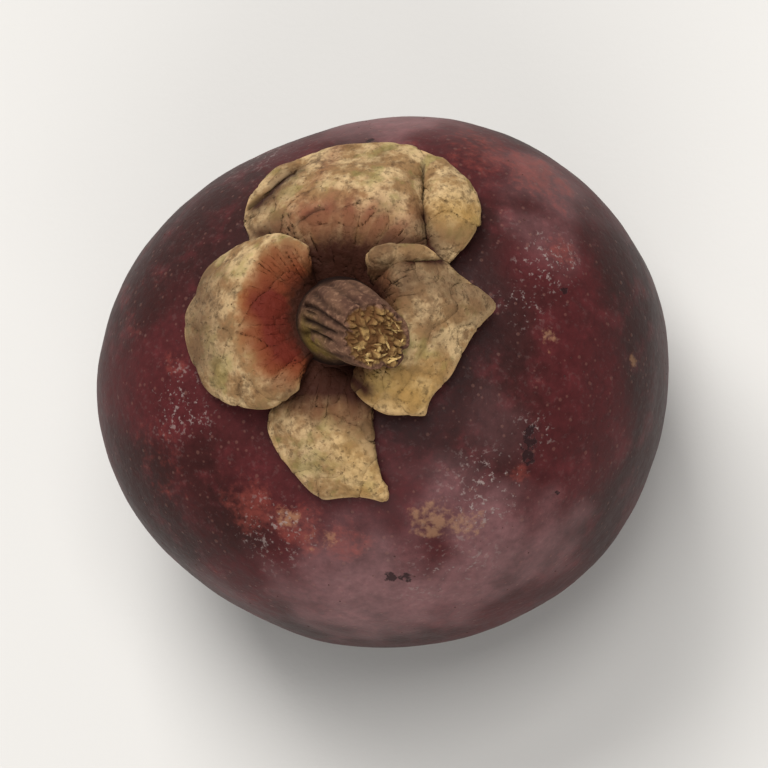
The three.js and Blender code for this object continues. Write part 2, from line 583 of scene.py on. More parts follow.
def store(mesh: bpy.types.Mesh, name: str, values: np.ndarray) -> None:
    """Gives each point of a mesh a number that its finish reads."""
    mesh.attributes.new(name, "FLOAT", "POINT").data.foreach_set("value", values.astype(np.float32))


def smooth_mesh(
    name: str, points: np.ndarray, faces: list[list[int]], marks: dict[str, np.ndarray]
) -> bpy.types.Mesh:
    """Makes a smooth-shaded mesh.

    Args:
        name: Its name.
        points: Where its points are.
        faces: The point numbers of each face.
        marks: The numbers that its finish reads, by their names.

    Returns:
        The mesh.
    """
    mesh = bpy.data.meshes.new(name)
    mesh.from_pydata(points.tolist(), [], faces)
    mesh.shade_smooth()
    for mark, values in marks.items():
        store(mesh, mark, values)
    return mesh


def through(values: Sequence[float], share: np.ndarray) -> np.ndarray:
    """Follows a smooth curve through evenly spaced values.

    Args:
        values: The values.
        share: How far along them each answer is wanted, from 0 at the first to 1 at the last.

    Returns:
        The value at each share.
    """
    steps = np.array(values, float)
    last = len(steps) - 1
    at = np.clip(share, 0, 1) * last
    i = np.minimum(np.floor(at).astype(int), last - 1)
    f = at - i
    a, b, c, d = (steps[np.clip(i + k, 0, last)] for k in (-1, 0, 1, 2))
    return b + 0.5 * f * (c - a + f * (2 * a - 5 * b + 4 * c - d + f * (3 * (b - c) + d - a)))


def smoothstep(value: np.ndarray, low: float, high: float) -> np.ndarray:
    """0 below low, 1 above high and a soft step in between. With low above high it runs the other way."""
    share = np.clip((value - low) / (high - low), 0, 1)
    return share * share * (3 - 2 * share)


def centred(angle: np.ndarray, turn: float) -> np.ndarray:
    """The same angle between minus and plus half a turn, where a whole turn is 360 degrees or 2 pi."""
    return (angle + turn / 2) % turn - turn / 2


def hump(value: np.ndarray, width: float | np.ndarray) -> np.ndarray:
    """1 where the value is 0, falling softly to 0 over a width to either side."""
    return np.exp(-((value / width) ** 2))


def ripples(points: np.ndarray, feature: float, seed: int) -> np.ndarray:
    """Reads smooth noise.

    Args:
        points: Where, as a grid of points.
        feature: How wide its bumps are.
        seed: Tells two patterns of one size apart.

    Returns:
        The noise from -1 to 1 at each point.
    """
    shift = Vector(MESH_SEED_STEP) * seed
    flat = points.reshape(-1, 3) / feature
    values = [noise.noise(Vector(p) + shift) for p in flat.tolist()]
    return np.array(values).reshape(points.shape[:-1])


@dataclass(frozen=True)
class Ripple:
    """Smooth bumps of a surface: how deep and how wide they are, and what sets them apart from others."""

    depth: float
    feature: float
    series: int

    def at(self, points: np.ndarray, seed: int = 0) -> np.ndarray:
        """How high the bumps are at each of a grid of points, on a piece of this seed."""
        return self.depth * ripples(points, self.feature, seed + self.series)


@dataclass(frozen=True)
class Wrinkle:
    """Narrow wandering lines: how far apart and how wide they are, and what sets them apart from others."""

    feature: float
    width: float
    series: int

    def at(self, points: np.ndarray, seed: int) -> np.ndarray:
        """1 in the middle of a line and 0 away from it."""
        return hump(ripples(points, self.feature, seed + self.series), self.width)


# ---- Finishes ----


class Tint(Enum):
    """The sorts of marks on the rind, by the name of the number that its skin carries for each."""

    # The fruit's waxy bloom, and painted sheen: a greyer, lighter film on the sides towards -Y and +Y.
    BLOOM = "bloom_and_sheen"
    BLUSH = "blush"
    SCAB = "scab"
    SCRATCH = "scratch"
    PIT = "pit"


@dataclass(frozen=True)
class RindFinish:
    """Leathery maroon skin: purple and rosy clouds, a waxy bloom that is partly painted sheen, pale freckles,
    dark pores and old scars.
    """

    # The coats, from the lowest up.
    dark: Colour = paint("2f110f")
    purple: Coat = Coat(paint("451819"), band=(0.4, 0.6))
    rosy: Coat = Coat(paint("642629"), 0.38, (0.48, 0.72))
    # Grey pink: partly the waxy bloom and partly painted sheen.
    bloom_and_sheen: Coat = Coat(paint("866060"))
    blush: Coat = Coat(paint("7e3a30"), 0.48, (0.3, 1.2))
    freckle: Coat = Coat(paint("93685a"), 0.18, (0.07, -0.06), relief=0.25)
    scab: Coat = Coat(paint("9c7757"), 0.5, (0.55, 1.15), relief=0.3)
    scratch: Coat = Coat(paint("90807a"), 0.7, relief=0.3)
    pit: Coat = Coat(paint("1f0e0f"), 0.85, (0.45, 0.7), relief=0.8)

    # The noises that they follow.
    broad: Cloud = Cloud(15 * MM, 1, 1.0)
    middling: Cloud = Cloud(4 * MM, 2, 4.0, 0.6)
    fine: Cloud = Cloud(0.9 * MM, 3, 3.0, 0.62)
    fleck: Cloud = Cloud(0.6 * MM, 9, 2.0, 0.7)
    freckle_spacing: float = 0.95 * MM
    freckle_seed: int = 5

    # How far those fray or thin them. A pair is how far, and about which value of the noise.
    bloom_and_sheen_cover: Ramp = Ramp(0.34, 0.62)
    shading: Ramp = Ramp(0.5, 1.0)
    middling_fray: float = 1.2
    fine_fray: float = 1.6
    freckle_sizes: float = 0.22
    freckle_fray: float = 0.3
    scab_fray: float = 1.3
    fleck_band: Band = (0.56, 0.7)
    fleck_fray: float = 0.3
    least_scratch: float = 0.08
    pit_cover: float = 0.7
    pit_fray: tuple[float, float] = (4.0, 0.4)

    # The surface.
    relief: float = 0.6
    relief_depth: float = 0.10 * MM
    roughness: Ramp = Ramp(0.42, 0.22)
    scab_roughness: float = 0.2
    gloss: float = 0.17

    def material(self) -> bpy.types.Material:
        """Writes the finish. The skin carries each tint at each point.

        Returns:
            The material.
        """
        s = Shader("rind_skin", self.dark, self.gloss)
        middling, fine = s.clouds(self.middling), s.clouds(self.fine)
        ragged = middling.swing(self.middling_fray) + fine.swing(self.fine_fray)
        s.lay(self.purple, s.clouds(self.broad))
        s.lay(self.rosy, middling)
        # The waxy film, partly painted sheen, lies where the skin carries it.
        s.lay(self.bloom_and_sheen, s.attribute(Tint.BLOOM.value), self.bloom_and_sheen_cover.of(middling))
        s.lay(self.blush, s.attribute(Tint.BLUSH.value) + ragged)
        s.shade(self.shading.of(fine))
        near, chance = s.cells(self.freckle_spacing, self.freckle_seed)
        freckle = s.lay(self.freckle, near - chance * self.freckle_sizes + fine.swing(self.freckle_fray))
        scab = s.lay(self.scab, s.attribute(Tint.SCAB.value) + ragged * self.scab_fray)
        flecks = s.between(s.clouds(self.fleck) + middling.swing(self.fleck_fray), *self.fleck_band)
        scratch = s.lay(self.scratch, flecks, s.attribute(Tint.SCRATCH.value) + self.least_scratch)
        pit = s.lay(self.pit, s.attribute(Tint.PIT.value) * (self.pit_cover + fine.swing(*self.pit_fray)))
        height = fine * self.relief + freckle * self.freckle.relief + scab * self.scab.relief
        height = height + scratch * self.scratch.relief - pit * self.pit.relief
        return s.close(self.roughness.of(fine) + scab * self.scab_roughness, height, self.relief_depth)


class Shade(Enum):
    """The colours that lie on parts of a sepal, by the name of the number that its skin carries for each."""

    STAIN = "stain"
    BLUSH = "blush"
    # Grey brown: partly the sepal's own tone and partly painted shade, on walls that face away from the light
    # and where neighbours shade it.
    DUSK_AND_SHADE = "dusk_and_shade"
    GOLD = "gold"
    # Painted shade, nearly black, where a sheet lies in the shadow of a fold, a lip or a neighbouring sepal.
    HOLLOW_SHADE = "hollow"


@dataclass(frozen=True)
class SepalFinish:
    """Thick dry sepals: beige olive with green and brown clouds and pale rims that are partly painted
    highlight, with painted shade down the inner wall, at its foot and in the creases.
    """

    # The coats, from the lowest up.
    beige: Colour = paint("896a46")
    sand: Coat = Coat(paint("bfa277"), band=(0.4, 0.6))
    green: Coat = Coat(paint("7d7842"), 0.5, (0.52, 0.66))
    brown: Coat = Coat(paint("60432a"), 0.6, (0.46, 0.3))
    gold: Coat = Coat(paint("a68247"), 0.7)
    # Grey brown, partly the sepal's own tone and partly painted shade.
    dusk_and_shade: Coat = Coat(paint("5e4632"))
    blush: Coat = Coat(paint("7a4534"))
    # Paler along the free edges; in part this is painted highlight on the rounded rims.
    rim: Coat = Coat(paint("c8a271"), 0.85)
    speck: Coat = Coat(paint("3a2a1a"), 0.45, (0.54, 0.72), relief=0.35)
    # Painted shade down the inner wall, in brown.
    wall: Coat = Coat(paint("6b452d"), band=(-0.05, 0.3))
    amber: Coat = Coat(paint("8a4d1f"), band=(-0.04, 0.14))
    wine: Coat = Coat(paint("5c2116"), band=(0.03, 0.28))
    # Painted shade, nearly black, at the foot of the inner wall and in the hollow patches.
    cup_shade: Coat = Coat(paint("34190f"))
    # Painted shade in the creases and the wrinkles.
    crease_shade: Coat = Coat(paint("2a1a0e"), 0.85)

    # The noises that they follow.
    clouds: Cloud = Cloud(2.6 * MM, 1, 4.0, 0.6)
    fine: Cloud = Cloud(0.7 * MM, 2, 3.0, 0.65)
    other: Cloud = Cloud(3.4 * MM, 3, 3.0, 0.6)
    specks: Cloud = Cloud(0.6 * MM, 5, 3.0, 0.6)

    # How far those fray or thin them.
    brown_fray: float = 0.5
    speck_fray: float = 0.4
    wall_fray: float = 0.3
    cup_shade_band: Band = (0.28, 0.64)
    cup_stain: float = 0.4
    dusk_and_shade_cover: Ramp = Ramp(0.5, 0.5)
    blush_cover: Ramp = Ramp(0.55, 0.6)
    wall_shade_cover: Ramp = Ramp(0.6, 0.3)
    shading: Ramp = Ramp(0.5, 1.0)

    # The surface.
    relief: float = 0.8
    relief_depth: float = 0.2 * MM
    roughness: Ramp = Ramp(0.58, 0.3)
    gloss: float = 0.12

    def material(self) -> bpy.types.Material:
        """Writes the finish. The sepals carry wall, rim, stripe, painted shade in creases and each shade at
        each point.

        Returns:
            The material.
        """
        s = Shader("sepal_skin", self.beige, self.gloss)
        clouds, fine, other = s.clouds(self.clouds), s.clouds(self.fine), s.clouds(self.other)
        stripe = s.attribute("stripe")
        s.lay(self.sand, clouds)
        s.lay(self.green, other)
        s.lay(self.brown, other + fine.swing(self.brown_fray))
        s.lay(self.gold, s.attribute(Shade.GOLD.value))
        # Grey brown, partly painted shade.
        s.lay(self.dusk_and_shade, s.attribute(Shade.DUSK_AND_SHADE.value), self.dusk_and_shade_cover.of(fine))
        s.lay(self.blush, s.attribute(Shade.BLUSH.value), self.blush_cover.of(stripe))
        # Pale rims, partly painted highlight.
        s.lay(self.rim, s.attribute("rim"))
        speck = s.lay(self.speck, s.clouds(self.specks) + clouds.swing(self.speck_fray))
        s.shade(self.shading.of(fine))
        self.stain_and_shade_inner_wall(s, fine, stripe)
        # Painted shade in the creases.
        s.lay(self.crease_shade, s.attribute("crease_shade"))
        height = fine * self.relief - speck * self.speck.relief
        return s.close(self.roughness.of(fine), height, self.relief_depth)

    def stain_and_shade_inner_wall(self, s: Shader, fine: Field, stripe: Field) -> None:
        """Colours the inner wall: painted shade in brown down it, amber, then wine red where it is stained,
        and painted shade, nearly black, at the foot and in the hollow patches.

        Args:
            s: The material.
            fine: The noise that frays the edges.
            stripe: The stripes that run down the wall.
        """
        stain = s.attribute(Shade.STAIN.value)
        ragged = s.attribute("wall") + fine.swing(self.wall_fray)
        # Painted shade down the wall, then the stain, then painted shade at the foot.
        s.lay(self.wall, ragged, self.wall_shade_cover.of(stripe))
        s.lay(self.amber, ragged, stain)
        s.lay(self.wine, ragged, stain)
        deep = s.between(ragged - stain * self.cup_stain, *self.cup_shade_band)
        s.lay(self.cup_shade, s.math("MAXIMUM", deep, s.attribute(Shade.HOLLOW_SHADE.value)))


@dataclass(frozen=True)
class StemFinish:
    """Brown bark with painted shade in its grooves and near its foot, a yellow green side and a torn
    straw-coloured end.
    """

    # The coats, from the lowest up. The torn end is straw over pith.
    bark: Colour = paint("644736")
    plum: Coat = Coat(paint("50362a"), band=(0.4, 0.62))
    ridge: Coat = Coat(paint("80604b"), 0.8, (0.5, 0.68))
    moss: Coat = Coat(paint("8a7436"), 0.85, (0.3, 0.5))
    # Painted shade in the grooves of the bark.
    groove: Coat = Coat(paint("1f110c"), 0.85)
    straw: Colour = paint("a88854")
    straw_band: Band = (0.25, 0.6)
    pith: Colour = paint("5a3b20")
    # Painted shadow near the foot of the stalk, where it goes down among the sepals.
    foot: Coat = Coat(paint("1f110c"))

    # The noises that they follow, and the surface.
    clouds: Cloud = Cloud(1.6 * MM, 1, 4.0)
    mottle: Cloud = Cloud(0.6 * MM, 5, 4.0, 0.65)
    shading: Ramp = Ramp(0.6, 0.8)
    relief_depth: float = 0.22 * MM
    roughness: Ramp = Ramp(0.7, 0.25)
    gloss: float = 0.12

    def material(self) -> bpy.types.Material:
        """Writes the finish. The stalk carries groove, cut, low, side and tuft at each point; low is its
        painted shadow near the foot.

        Returns:
            The material.
        """
        s = Shader("stem_bark", self.bark, self.gloss)
        clouds, mottle = s.clouds(self.clouds), s.clouds(self.mottle)
        s.lay(self.plum, clouds)
        s.lay(self.ridge, mottle)
        s.lay(self.moss, clouds, s.attribute("side"))
        # Painted shade in the grooves.
        s.lay(self.groove, s.attribute("groove"))
        # The tuft number carries a painted highlight on one side of the end, as well as the tufts' own tones.
        torn = s.mix(s.attribute("tuft") * s.between(mottle, *self.straw_band), self.pith, self.straw)
        s.tone = s.mix(s.attribute("cut"), s.tone, torn)
        s.shade(self.shading.of(mottle))
        # Painted shadow near the foot.
        s.lay(self.foot, s.attribute("low"))
        return s.close(self.roughness.of(mottle), mottle, self.relief_depth)


@dataclass(frozen=True)
class CorkFinish:
    """A dry corky skin in two tones, for the stigma scar, the lenticels, the specks and the fibres."""

    name: str
    light: Colour
    dark: Colour
    feature: float = 0.6 * MM
    detail: float = 5.0
    rough: float = 0.6
    band: Band = (0.36, 0.66)
    roughness: float = 0.8
    roughness_swing: float = 0.2
    relief_depth: float = 0.12 * MM
    gloss: float = 0.25

    def material(self) -> bpy.types.Material:
        """Writes the finish.

        Returns:
            The material.
        """
        s = Shader(self.name, self.dark, self.gloss)
        cloud = s.clouds(Cloud(self.feature, 1, self.detail, self.rough))
        s.lay(Coat(self.light, band=self.band), cloud)
        return s.close(self.roughness + cloud.swing(self.roughness_swing), cloud, self.relief_depth)


# ---- Rind ----


@dataclass(frozen=True)
class Swelling:
    """Makes the plan less of a true oval: how many waves go round it, how large they are and where one is."""

    count: int
    size: float
    at: float


@dataclass(frozen=True)
class Hollow:
    """A shallow hollow on the axis."""

    depth: float
    radius: float
    power: float

    def at(self, out: np.ndarray) -> np.ndarray:
        """How deep it is at a distance from the axis."""
        return self.depth * np.exp(-((out / self.radius) ** self.power))


@dataclass(frozen=True)
class Mark:
    """A mark on the rind: its tint, azimuth, distance from the axis, reach and strength, and its side."""

    tint: Tint
    azimuth: float
    out: float
    reach: float
    strength: float
    under: bool = False


@dataclass(frozen=True)
class Sprinkling:
    """Small marks of one tint that lie by chance: how many, how far they reach and how strong they are."""

    tint: Tint
    count: int
    reach: float
    strength: float


def marked(tint: Tint, *spots: tuple[float, float, float, float]) -> tuple[Mark, ...]:
    """Marks on the upper side, each from its azimuth, distance from the axis, reach and strength, in mm."""
    return tuple(Mark(tint, at, out * MM, reach * MM, strength) for at, out, reach, strength in spots)


@dataclass
class Rind:
    """The body of the fruit: a squarish oval in plan and a superellipse in section, hollowed at both ends."""

    finish: RindFinish

    # The form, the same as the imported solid's.
    half_x: float = 30.8 * MM
    half_y: float = 28.2 * MM
    level: float = 26.6 * MM
    up: float = 25.0 * MM
    down: float = 26.1 * MM
    square_up: float = 2.35
    square_down: float = 2.4
    swellings: tuple[Swelling, ...] = (
        Swelling(1, 0.017, -38),
        Swelling(2, 0.018, 46),
        Swelling(3, 0.014, 56),
        Swelling(6, 0.004, 18),
    )
    stalk_hollow: Hollow = Hollow(1.0 * MM, 7.5 * MM, 2)
    blossom_hollow: Hollow = Hollow(1.6 * MM, 7.6 * MM, 6)

    # How fine the skin is, and its own unevenness.
    around: int = 360
    rings: int = 250
    dents: Relief = Relief("Dents", 0.22 * MM, Cloud(9.0 * MM, 3, 1.0))
    pebbles: Relief = Relief("Pebbles", 0.05 * MM, Cloud(2.4 * MM, 5, 2.0))

    # The marks that have their own places: azimuth, distance from the axis and reach in mm, strength.
    marks: tuple[Mark, ...] = (
        # These placed marks are partly waxy bloom and partly painted sheen on the sides towards -Y and +Y;
        # the sprinkled ones are bloom only.
        *marked(
            Tint.BLOOM,
            (-88, 27.0, 15.0, 1.0),
            (-70, 27.6, 10.0, 1.0),
            (-58, 21.0, 6.0, 0.55),
            (-57, 26.4, 9.0, 0.9),
            (-49, 28.6, 9.0, 0.8),
            (-34, 19.7, 6.0, 0.2),
            (27, 23.3, 6.0, 0.45),
            (42, 27.0, 9.0, 0.65),
            (84, 26.5, 11.0, 0.9),
        ),
        *marked(
            Tint.BLUSH,
            (-150, 24.0, 8.0, 0.35),
            (-122, 21.2, 5.5, 1.0),
            (-106, 21.4, 5.5, 1.0),
            (-91, 22.2, 4.5, 0.8),
            (-40, 23.6, 1.8, 1.0),
            (22, 24.0, 3.0, 0.8),
            (45, 26.5, 8.0, 1.0),
            (56, 25.0, 9.0, 0.8),
            (166, 24.0, 7.0, 0.3),
        ),
        *marked(
            Tint.SCAB,
            (-109, 20.6, 2.6, 0.9),
            (-99, 21.8, 3.0, 0.7),
            (-66, 22.4, 4.6, 1.0),
            (-58, 24.4, 3.0, 0.7),
            (-3, 29.2, 1.6, 0.8),
        ),
        *marked(
            Tint.SCRATCH,
            (-112, 22.5, 7.0, 0.8),
            (-70, 26.0, 7.0, 0.7),
            (-50, 22.4, 6.5, 1.0),
            (-33, 22.4, 1.7, 1.0),
            (-30, 22.7, 3.6, 1.0),
            (20, 22.4, 5.4, 1.0),
        ),
        *marked(
            Tint.PIT,
            (-82.5, 25.5, 1.6, 0.85),
            (-79.0, 25.7, 1.6, 0.8),
            (-36, 23.6, 1.5, 0.65),
            (-32.5, 22.9, 1.9, 0.66),
            (-29.5, 22.3, 1.7, 0.64),
        ),
    )
    mark_wander: Ripple = Ripple(0.35, 3.5 * MM, 3)
    mark_fade: Band = (0.2, 1.0)

    # The marks that lie by chance: how far out, as a share of the widest ring, how large, how many below.
    sprinklings: tuple[Sprinkling, ...] = (
        Sprinkling(Tint.BLOOM, 8, 12.0 * MM, 0.6),
        Sprinkling(Tint.BLUSH, 6, 5.0 * MM, 0.6),
        Sprinkling(Tint.SCAB, 9, 2.2 * MM, 0.7),
        Sprinkling(Tint.SCRATCH, 9, 5.0 * MM, 0.8),
        Sprinkling(Tint.PIT, 7, 0.9 * MM, 0.9),
    )
    sprinkled_out: Band = (0.55, 0.998)
    sprinkled_size: Band = (0.5, 1.3)
    sprinkled_under: float = 0.7
    seed: int = 15

    def plan(self, azimuth: float | np.ndarray) -> np.ndarray:
        """How far the widest ring is from the axis.

        Args:
            azimuth: Where, in radians.

        Returns:
            The radius there.
        """
        oval = 1 / np.hypot(np.cos(azimuth) / self.half_x, np.sin(azimuth) / self.half_y)
        swell = sum(w.size * np.cos(w.count * (azimuth - math.radians(w.at))) for w in self.swellings)
        return oval * (1 + swell)

    def dome(self, out: np.ndarray, azimuth: np.ndarray, square: float) -> np.ndarray:
        """How far the skin is from the widest ring's level: 1 on the axis, falling to 0 at that ring."""
        share = np.minimum(out / self.plan(azimuth), 1)
        return (1 - share**square) ** (1 / square)

    def top(self, out: np.ndarray, azimuth: np.ndarray) -> np.ndarray:
        """Height of the upper side at a distance from the axis and an azimuth in radians."""
        return self.level + self.up * self.dome(out, azimuth, self.square_up) - self.stalk_hollow.at(out)

    def under(self, out: np.ndarray, azimuth: np.ndarray) -> np.ndarray:
        """Height of the underside at a distance from the axis and an azimuth in radians."""
        dome = self.dome(out, azimuth, self.square_down)
        return self.level - self.down * dome + self.blossom_hollow.at(out)

    def point(self, mark: Mark) -> tuple[float, float, float]:
        """Finds the middle of a mark on the surface.

        Args:
            mark: The mark.

        Returns:
            Its X, Y and Z.
        """
        turn = math.radians(mark.azimuth)
        height = self.under(mark.out, turn) if mark.under else self.top(mark.out, turn)
        return (mark.out * math.cos(turn), mark.out * math.sin(turn), float(height))

    def build(self) -> bpy.types.Object:
        """Grows the skin from a ball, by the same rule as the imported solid, dents it a little and marks it.

        Returns:
            The skin.
        """
        r = Recipe("rind_skin")
        shape = r.placed(r.ball(self.around, self.rings), self.rule(r))
        offset = r.vector("SCALE", r.normal(), r.uneven(self.dents) + r.uneven(self.pebbles))
        skin = r.grow(r.moved(shape, offset), self.finish.material())
        points = np.empty(len(skin.data.vertices) * 3)
        skin.data.vertices.foreach_get("co", points)
        marks = self.marks + self.sprinkled()
        for tint in Tint:
            own = [mark for mark in marks if mark.tint is tint]
            store(skin.data, tint.value, self.tinted(points.reshape(-1, 3), own))
        return skin

    def tinted(self, points: np.ndarray, marks: Sequence[Mark]) -> np.ndarray:
        """Works out how strong a tint is.

        Args:
            points: The points of the skin.
            marks: The marks of this tint.

        Returns:
            Its strength at each point, from 0 to 1.
        """
        strength = np.zeros(len(points))
        wander = self.mark_wander.at(points)
        for mark in marks:
            away = np.linalg.norm(points - self.point(mark), axis=1) / mark.reach
            strength = np.maximum(strength, mark.strength * (1 - smoothstep(away + wander, *self.mark_fade)))
        return strength

    def sprinkled(self) -> tuple[Mark, ...]:
        """Draws smaller marks that lie anywhere on the sides and the underside.

        Returns:
            The marks.
        """
        chance = random.Random(self.seed)
        marks = []
        for some in self.sprinklings:
            for _ in range(some.count):
                azimuth = chance.uniform(-180, 180)
                out = float(self.plan(math.radians(azimuth))) * chance.uniform(*self.sprinkled_out)
                reach = some.reach * chance.uniform(*self.sprinkled_size)
                under = chance.random() < self.sprinkled_under
                marks.append(Mark(some.tint, azimuth, out, reach, some.strength, under))
        return tuple(marks)

    def rule(self, r: Recipe) -> Field:
        """Says where a point of the unit ball goes on the fruit.

        Args:
            r: The recipe that grows the skin.

        Returns:
            The place, for each point of the ball.
        """
        x, y, z = r.split(r.place())
        azimuth = r.math("ARCTAN2", y, x)
        upper = r.math("GREATER_THAN", z, 0.0)
        square = self.either(r, upper, "Square", self.square_up, self.square_down)
        flat = (x * x + y * y) ** 0.5
        reach = (flat**square + r.math("ABSOLUTE", z) ** square) ** r.math("DIVIDE", 1.0, square)
        out = self.plan_rule(r, azimuth) * flat / reach
        dome = z / reach
        tall = self.either(r, upper, "Height", self.up, self.down)
        stalk = self.hollow_rule(r, "Stalk hollow", self.stalk_hollow, out) * upper
        blossom = self.hollow_rule(r, "Blossom hollow", self.blossom_hollow, out) * (1 - upper)
        height = r.size("Level of the widest ring", self.level) + tall * dome - stalk + blossom
        return r.join(out * r.math("COSINE", azimuth), out * r.math("SINE", azimuth), height)

    def either(self, r: Recipe, upper: Field, name: str, above: float, below: float) -> Field:
        """A named size that differs above the widest ring, where upper is 1, and below it, where it is 0."""
        return r.size(name + " above", above) * upper + r.size(name + " below", below) * (1 - upper)

    def plan_rule(self, r: Recipe, azimuth: Field) -> Field:
        """The same as plan, as nodes.

        Args:
            r: The recipe.
            azimuth: Where, in radians.

        Returns:
            The widest radius there.
        """
        east = r.math("COSINE", azimuth) / r.size("Half width along X", self.half_x)
        north = r.math("SINE", azimuth) / r.size("Half width along Y", self.half_y)
        oval = (east * east + north * north) ** -0.5
        swell = oval
        for wave in self.swellings:
            turn = (azimuth - math.radians(wave.at)) * float(wave.count)
            swell = swell + oval * r.math("COSINE", turn) * r.size(f"Swelling {wave.count}", wave.size)
        return swell

    def hollow_rule(self, r: Recipe, name: str, hollow: Hollow, out: Field) -> Field:
        """How deep a named hollow is at a distance from the axis, as nodes."""
        fall = (out / r.size(name + " radius", hollow.radius)) ** hollow.power
        return r.math("EXPONENT", -fall) * r.size(name + " depth", hollow.depth)


@dataclass
class Scatter:
    """Small grains that sit on a surface: lenticels on the rind, corky specks on the sepals."""

    name: str
    finish: CorkFinish
    density: float
    radius: float
    seed: int
    flatness: float = 0.3
    detail: int = 1
    sizes: Band = (0.35, 1.0)
    size_power: float = 1.5
    lengths: Band = (0.7, 1.3)
    wall_limit: float = 0.1

    def build(self, host: bpy.types.Mesh) -> bpy.types.Object:
        """Grows the grains, each of its own size and laid flat on the surface, but none down an inner wall.

        Args:
            host: The mesh that they sit on.

        Returns:
            The grains.
        """
        r = Recipe(self.name)
        seed = r.size("Seed", self.seed)
        wall = r.call("GeometryNodeInputNamedAttribute", {"Name": "wall"}, "Attribute", data_type="FLOAT")
        points, turn = r.spread(self.density, seed, r.math("LESS_THAN", wall, self.wall_limit))
        size = r.random(*self.sizes, seed) ** self.size_power
        stretch = r.join(size * r.random(*self.lengths, self.seed + 1), size, size)
        grain = r.grain_ball(self.radius, self.detail, (1.0, 1.0, self.flatness))
        return r.grow(r.copies(points, grain, turn, stretch), self.finish.material(), host)


# ---- Sepals ----


@dataclass(frozen=True)
class Spoke:
    """A line of a sepal from foot to rim: the azimuth and reach of its end, and its lift at crest and rim."""

    at: float
    reach: float
    crest: float
    rim: float


@dataclass(frozen=True)
class Line:
    """A line in plan, and how far what it does reaches to either side of it."""

    start: tuple[float, float]
    end: tuple[float, float]
    width: float

    def share(self, x: np.ndarray, y: np.ndarray, wander: float | np.ndarray = 1.0) -> np.ndarray:
        """Says how near the line each point is.

        Args:
            x: The points' X.
            y: The points' Y.
            wander: What the width is multiplied by.

        Returns:
            1 on the line, falling to 0 over its width.
        """
        (start_x, start_y), (end_x, end_y) = self.start, self.end
        dx, dy = end_x - start_x, end_y - start_y
        along = np.clip(((x - start_x) * dx + (y - start_y) * dy) / (dx * dx + dy * dy), 0, 1)
        away = np.hypot(x - start_x - along * dx, y - start_y - along * dy)
        return hump(away, self.width * wander)


@dataclass(frozen=True)
class Fold(Line):
    """A line along which the sheet is sunk, or raised where the depth is negative."""

    depth: float


@dataclass(frozen=True)
class Patch(Line):
    """A patch of colour along a line. A strength over 1 gives it a flat middle."""

    shade: Shade
    strength: float = 1.0


@dataclass(frozen=True)
class Corner:
    """A point of the rim that is drawn out: its azimuth, how far, and how many degrees it takes up."""

    at: float
    reach: float
    width: float


@dataclass(frozen=True)
class Comb:
    """Furrows along the spokes: how deep, how many to a radian, and where they come and go on their way."""

    depth: float
    teeth: float
    comes: Band
    goes: Band


